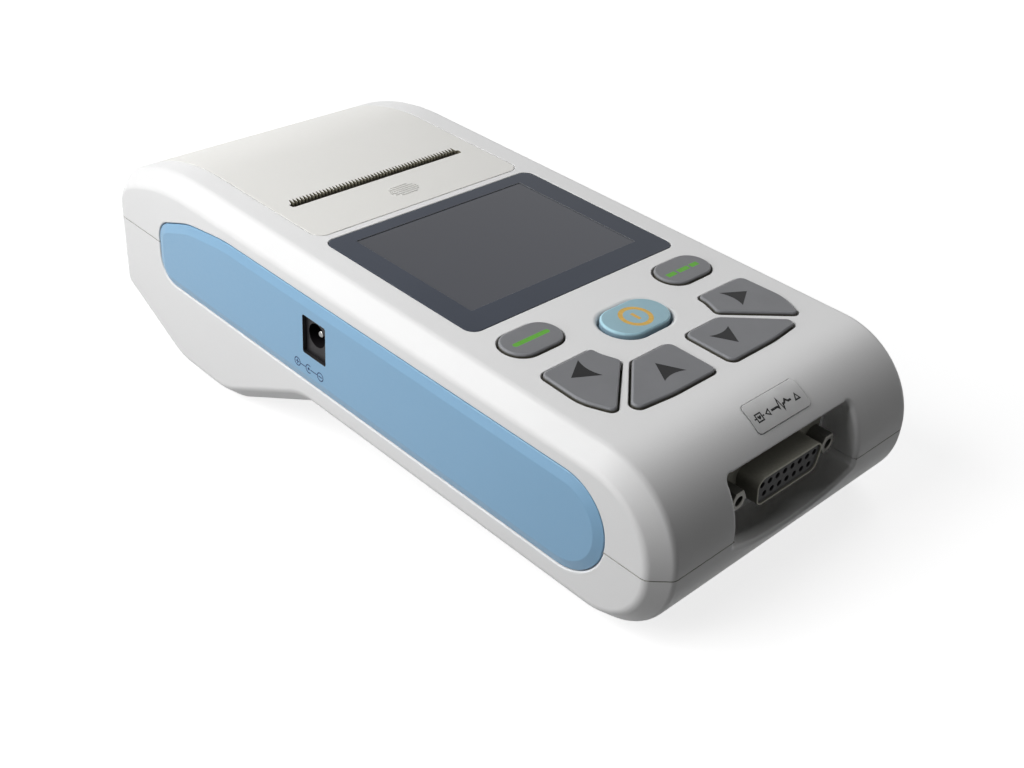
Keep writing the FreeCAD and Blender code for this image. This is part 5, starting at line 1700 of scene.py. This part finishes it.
class ECG_OT_side_panels(bpy.types.Operator):
    """Fit the two bevelled side panels, the left one round the inlet"""

    bl_idname = "ecg.side_panels"
    bl_label = "Side panels"
    bl_options = {"REGISTER", "UNDO"}

    def execute(self, context):
        moulding = context.scene.ecg_moulding
        blue = moulded("panel_blue_finish", moulding.blue, 0.4, 3000.0, 0.000012, 0.01)
        ink = print_ink("panel_ink", shade(44, 62, 104))
        black = moulded("panel_hole_black", moulding.black, 0.5, *SMOOTH_BLACK)
        for side in (-1, 1):
            make_inlay(side, blue, ink, black)
        return {"FINISHED"}


class ECG_OT_screen(bpy.types.Operator):
    """Fit the window with the sleeping display behind it"""

    bl_idname = "ecg.screen"
    bl_label = "Screen"
    bl_options = {"REGISTER", "UNDO"}

    def execute(self, context):
        screen = context.scene.ecg_screen
        border = glass_border("screen_border", screen.border)
        picture = sleeping_picture("screen_picture_painted_reflection", screen.picture)
        frame_grey = moulded("screen_frame_grey", shade(96, 98, 102), 0.4, 3000.0, 0.000004, 0.04)
        make_window(border, picture, frame_grey)
        return {"FINISHED"}


class ECG_OT_keys(bpy.types.Operator):
    """Mould the seven keys with their printed marks"""

    bl_idname = "ecg.keys"
    bl_label = "Keys"
    bl_options = {"REGISTER", "UNDO"}

    def execute(self, context):
        keys = context.scene.ecg_keys
        grey = silicone("key_grey_rubber_painted_light", keys.grey)
        # the power key's painted shade at its foot is lighter
        power = silicone("key_power_rubber_painted_light", keys.power, 0.72)
        black = print_ink("key_black_ink", keys.mark)
        green = print_ink("key_green_ink", keys.green)
        orange = print_ink("key_orange_ink", keys.orange)
        inks = {"key_print": green, "key_mode": green, "key_power": orange}
        for name in KEYS:
            rubber, slot_name = (power, "key_blue") if name == "key_power" else (grey, "key_grey")
            make_key(name, rubber, inks.get(name, black), keys.edge * 1000.0, slot_name)
        return {"FINISHED"}


class ECG_OT_door(bpy.types.Operator):
    """Hang the paper door with its slot, tear teeth and finger grip"""

    bl_idname = "ecg.door"
    bl_label = "Paper door"
    bl_options = {"REGISTER", "UNDO"}

    def execute(self, context):
        moulding = context.scene.ecg_moulding
        grain = (CASE_GRAIN, moulding.grain, CASE_MOTTLE)
        cream = moulded("door_cream_finish", moulding.cream, moulding.roughness, *grain)
        # the slot's walls: painted shade, darker than the door
        painted_slot_shade = moulded("slot_wall_painted_shade", shade(112, 108, 92), 0.6, *grain[:2], 0.05)
        make_door(cream, painted_slot_shade)
        return {"FINISHED"}


class ECG_OT_label(bpy.types.Operator):
    """Lay the foil label round the nose"""

    bl_idname = "ecg.label"
    bl_label = "Label"
    bl_options = {"REGISTER", "UNDO"}

    def execute(self, context):
        foil = brushed_foil("label_foil", shade(160, 160, 160))
        make_label(foil, print_ink("label_ink", shade(8, 8, 9)))
        return {"FINISHED"}


class ECG_OT_socket(bpy.types.Operator):
    """Fit the patient socket: shell, block, contacts and jackscrews"""

    bl_idname = "ecg.socket"
    bl_label = "Patient socket"
    bl_options = {"REGISTER", "UNDO"}

    def execute(self, context):
        dull = {"Specular_IOR_Level": 0.2}
        make_shell(metal("socket_plating_finish", shade(96, 95, 88), 0.6))
        make_insulator(moulded("socket_black", shade(14, 14, 15), 0.6, *SMOOTH_BLACK, **dull))
        make_contacts(metal("contact_brass_finish", shade(78, 66, 44), 0.4))
        make_jackscrews(metal("jackscrew_finish", shade(90, 89, 85), 0.4, (1.0, 0.2, 1.0)))
        return {"FINISHED"}


class ECG_OT_inlet(bpy.types.Operator):
    """Fit the round power inlet and its pin"""

    bl_idname = "ecg.inlet"
    bl_label = "Power inlet"
    bl_options = {"REGISTER", "UNDO"}

    def execute(self, context):
        colour = context.scene.ecg_moulding.black
        dull, dead = {"Specular_IOR_Level": 0.2}, {"Specular_IOR_Level": 0.0}
        black = moulded("inlet_black", colour, 0.36, *SMOOTH_BLACK, **dull)
        bore_black = moulded("inlet_bore_black", colour, 0.95, *SMOOTH_BLACK, **dead)
        steel = metal("inlet_pin_finish", shade(150, 150, 149), 0.2, LINES_ALONG_X)
        make_inlet(black, bore_black, steel)
        return {"FINISHED"}


class ECG_OT_feet(bpy.types.Operator):
    """Seat the four rubber feet"""

    bl_idname = "ecg.feet"
    bl_label = "Feet"
    bl_options = {"REGISTER", "UNDO"}

    def execute(self, context):
        make_feet(moulded("foot_rubber_finish", shade(52, 52, 54), 0.8, 2200.0, 0.00002, 0.08))
        return {"FINISHED"}


def dress(material, *names):
    """Give CAD nodes that stay in view a finish."""
    for name in names:
        mesh = bpy.data.objects[name].data
        mesh.materials.clear()
        mesh.materials.append(material)


class ECG_OT_insides(bpy.types.Operator):
    """Finish the printer, boards, battery and paper inside the case"""

    bl_idname = "ecg.insides"
    bl_label = "Insides"
    bl_options = {"REGISTER", "UNDO"}

    def execute(self, context):
        nylon = moulded("nylon_finish", shade(222, 222, 216), 0.4, 1800.0, 0.00001, 0.03)
        steel = metal("shaft_steel_finish", shade(176, 177, 178), 0.25, LINES_ALONG_X)
        spring = metal("spring_steel_finish", shade(190, 190, 190), 0.22)
        plate = metal("frame_steel_finish", shade(168, 169, 172), 0.42, LINES_ALONG_PLATE)
        sink = metal("sink_aluminium_finish", shade(190, 191, 193), 0.35, LINES_ALONG_PLATE)
        brass = metal("pinion_brass_finish", shade(206, 168, 92), 0.3)
        screw = metal("case_screw_finish", shade(150, 150, 150), 0.3)
        board = wrapped("board_green_finish", shade(24, 92, 54), shade(38, 112, 66))
        wrap = wrapped("battery_wrap_finish", shade(46, 96, 158), shade(52, 106, 170))
        card = wrapped("core_card_finish", shade(176, 146, 108), shade(164, 134, 98))
        chips = moulded("chip_black_finish", shade(40, 40, 42), 0.5, 2400.0, 0.00002, 0.08)
        rubber = moulded("platen_rubber_finish", shade(42, 42, 44), 0.7, 2600.0, 0.00001, 0.06)
        ceramic = moulded("head_ceramic_finish", shade(116, 96, 72), 0.16, 900.0, 0.000002, 0.05)
        module = moulded("display_module_finish", shade(60, 62, 66), 0.3, 1200.0, 0.000004, 0.05)
        dress(board, "keypad_board", "main_board")
        dress(chips, "board_components", "buzzer")
        dress(spring, "key_switches", "head_springs")
        dress(wrap, "battery_pack")
        dress(steel, "door_hinge_pin", "platen_shaft", "idler_pin", "motor_shaft")
        dress(paper_wound("paper_finish", shade(236, 236, 232)), "paper_roll")
        dress(card, "roll_core")
        dress(nylon, "roll_spindle", "platen_bushes", "platen_gear", "idler_gear")
        dress(plate, "printer_frame", "stepper_motor")
        dress(ceramic, "print_head")
        dress(sink, "head_heat_sink")
        dress(rubber, "platen_roller")
        dress(brass, "motor_pinion")
        dress(screw, "case_screws")
        dress(module, "lcd_module")
        return {"FINISHED"}


class ECG_OT_stage(bpy.types.Operator):
    """Set the pale floor, the soft light and the camera"""

    bl_idname = "ecg.stage"
    bl_label = "Stage"
    bl_options = {"REGISTER", "UNDO"}

    def execute(self, context):
        scene = context.scene
        make_floor()
        make_lamps(scene)
        make_room(scene)
        make_camera(scene)
        scene.view_settings.view_transform = "Standard"
        return {"FINISHED"}


# ------------------------------------------------------------------ the stage

FLOOR_REACH = 6.0
FLOOR_MATT = 0.4
FLOOR_BOUNCE = 0.15
FLOOR_GLOW = 0.8
# from the middle outwards, in metres, the floor's glow rises to white
GLOW_FROM = 0.16
GLOW_TO = 0.5
# name, place in metres, power in watts, width in metres
LAMPS = (
    ("rear_left_light", (-0.278, 0.211, 0.383), 0.95, 0.3),
    ("left_light", (-0.321, 0.05, 0.383), 0.82, 0.3),
    ("low_left_light", (-0.453, 0.05, 0.211), 0.84, 0.3),
    ("right_light", (0.707, 0.0, 0.707), 2.6, 0.6),
    ("rear_light", (0.47, 0.814, 0.342), 0.56, 0.6),
)
LIT_POINT = (0.0, 0.0, 0.03)
# the camera's turn as a rotation vector, and its shift in mm from a point on the deck
VIEW_TURN = (2.0608, -0.7886, 0.5082)
VIEW_SHIFT = (16.543, -23.8388, 324.6313)
VIEW_MIDDLE = (0.0, 70.6, DECK)
VIEW_LENS = 46.71


def even_grey(level):
    return (level, level, level, 1.0)


def camera_share(n):
    """1 for rays that the eye, a reflection or a clear view sends, 0 for light that bounces."""
    path = n.add("ShaderNodeLightPath").outputs
    seen = n.math("MAXIMUM", path["Is Camera Ray"], path["Is Glossy Ray"])
    return n.math("MAXIMUM", seen, path["Is Transmission Ray"])


def make_floor():
    """A wide pale floor: matt, with a glow of its own that only the view sees."""
    mesh = bpy.data.meshes.new("floor")
    corners = [(*corner, 0.0) for corner in square((0.0, 0.0), FLOOR_REACH)]
    mesh.from_pydata(corners, [], [(0, 1, 2, 3)])
    floor = bpy.data.objects.new("floor", mesh)
    bpy.context.scene.collection.objects.link(floor)
    n = material_nodes("floor_finish")
    seen = camera_share(n)
    pale = n.tones(n.patchy(300.0, 3.0), even_grey(FLOOR_MATT), 0.995, 1.005)
    matt = n.fed("ShaderNodeBsdfDiffuse", "BSDF", Color=n.mix(seen, even_grey(FLOOR_BOUNCE), pale))
    away = n.add("ShaderNodeVectorMath", operation="LENGTH")
    n.link(n.place, away.inputs[0])
    level = n.ranged(away.outputs["Value"], GLOW_FROM, GLOW_TO, FLOOR_GLOW, 1.0)
    strength = n.math("MULTIPLY", seen, level)
    glow = n.fed("ShaderNodeEmission", "Emission", Color=even_grey(1.0), Strength=strength)
    both = n.add("ShaderNodeAddShader")
    n.link(matt, both.inputs[0])
    n.link(glow, both.inputs[1])
    mesh.materials.append(n.surface(both.outputs[0]))


def make_lamps(scene):
    """Three soft lamps close by on the left, a broad one on the right and one behind."""
    for name, spot, power, width in LAMPS:
        lamp = bpy.data.lights.new(name, "AREA")
        lamp.shape = "DISK"
        lamp.energy = power * scene.ecg_stage.lamp_level
        lamp.size = width
        light = bpy.data.objects.new(name, lamp)
        light.location = spot
        light.rotation_mode = "QUATERNION"
        light.rotation_quaternion = (Vector(spot) - Vector(LIT_POINT)).to_track_quat("Z", "Y")
        scene.collection.objects.link(light)


def make_room(scene):
    """Faint light from all round, which the view sees as white."""
    n = Nodes(bpy.data.worlds.new("room"), "ShaderNodeOutputWorld")
    strength = n.ranged(camera_share(n), 0.0, 1.0, scene.ecg_stage.fill_strength, 1.0)
    room = n.fed("ShaderNodeBackground", "Background", Color=even_grey(1.0), Strength=strength)
    scene.world = n.surface(room)


def make_camera(scene):
    """A camera at the device's front left, looking down on it."""
    turn = np.array(Matrix.Rotation(np.linalg.norm(VIEW_TURN), 3, Vector(VIEW_TURN)))
    spot = place(np.array(VIEW_MIDDLE) - turn.T @ np.array(VIEW_SHIFT))
    axes = TURN @ (turn * np.array([[1.0], [-1.0], [-1.0]])).T
    camera = bpy.data.objects.new("camera", bpy.data.cameras.new("camera"))
    camera.data.sensor_width = 36.0
    camera.data.lens = VIEW_LENS
    camera.data.clip_start = 0.01
    rows = [[*axes[row], spot[row]] for row in range(3)]
    camera.matrix_world = Matrix([*rows, [0.0, 0.0, 0.0, 1.0]])
    scene.collection.objects.link(camera)
    scene.camera = camera


# ------------------------------------------------------------------ panel


class ECG_PT_panel(bpy.types.Panel):
    """The monitor's settings and the buttons that dress it"""

    bl_idname = "ECG_PT_panel"
    bl_label = "ECG Monitor"
    bl_space_type = "VIEW_3D"
    bl_region_type = "UI"
    bl_category = "ECG Monitor"

    def draw(self, context):
        for group in SETTINGS:
            settings = getattr(context.scene, group)
            box = self.layout.box()
            for name in settings.bl_rna.properties.keys():
                if name not in ("rna_type", "name"):
                    box.prop(settings, name)
        for operator in OPERATORS:
            self.layout.operator(operator.bl_idname)


SETTINGS = {
    "ecg_moulding": EcgMouldingSettings,
    "ecg_keys": EcgKeySettings,
    "ecg_screen": EcgScreenSettings,
    "ecg_stage": EcgStageSettings,
}
OPERATORS = (
    ECG_OT_case,
    ECG_OT_side_panels,
    ECG_OT_screen,
    ECG_OT_keys,
    ECG_OT_door,
    ECG_OT_label,
    ECG_OT_socket,
    ECG_OT_inlet,
    ECG_OT_feet,
    ECG_OT_insides,
    ECG_OT_stage,
)
CLASSES = (*SETTINGS.values(), *OPERATORS, ECG_PT_panel)


def register():
    for each in CLASSES:
        bpy.utils.register_class(each)
    for name, settings in SETTINGS.items():
        setattr(bpy.types.Scene, name, PointerProperty(type=settings))


def unregister():
    for name in SETTINGS:
        delattr(bpy.types.Scene, name)
    for each in reversed(CLASSES):
        bpy.utils.unregister_class(each)


def main():
    register()
    for operator in OPERATORS:
        name = operator.bl_idname.split(".")[1]
        if getattr(bpy.ops.ecg, name)() != {"FINISHED"}:
            raise RuntimeError(f"{operator.bl_label} didn't finish")


if __name__ == "__main__":
    main()
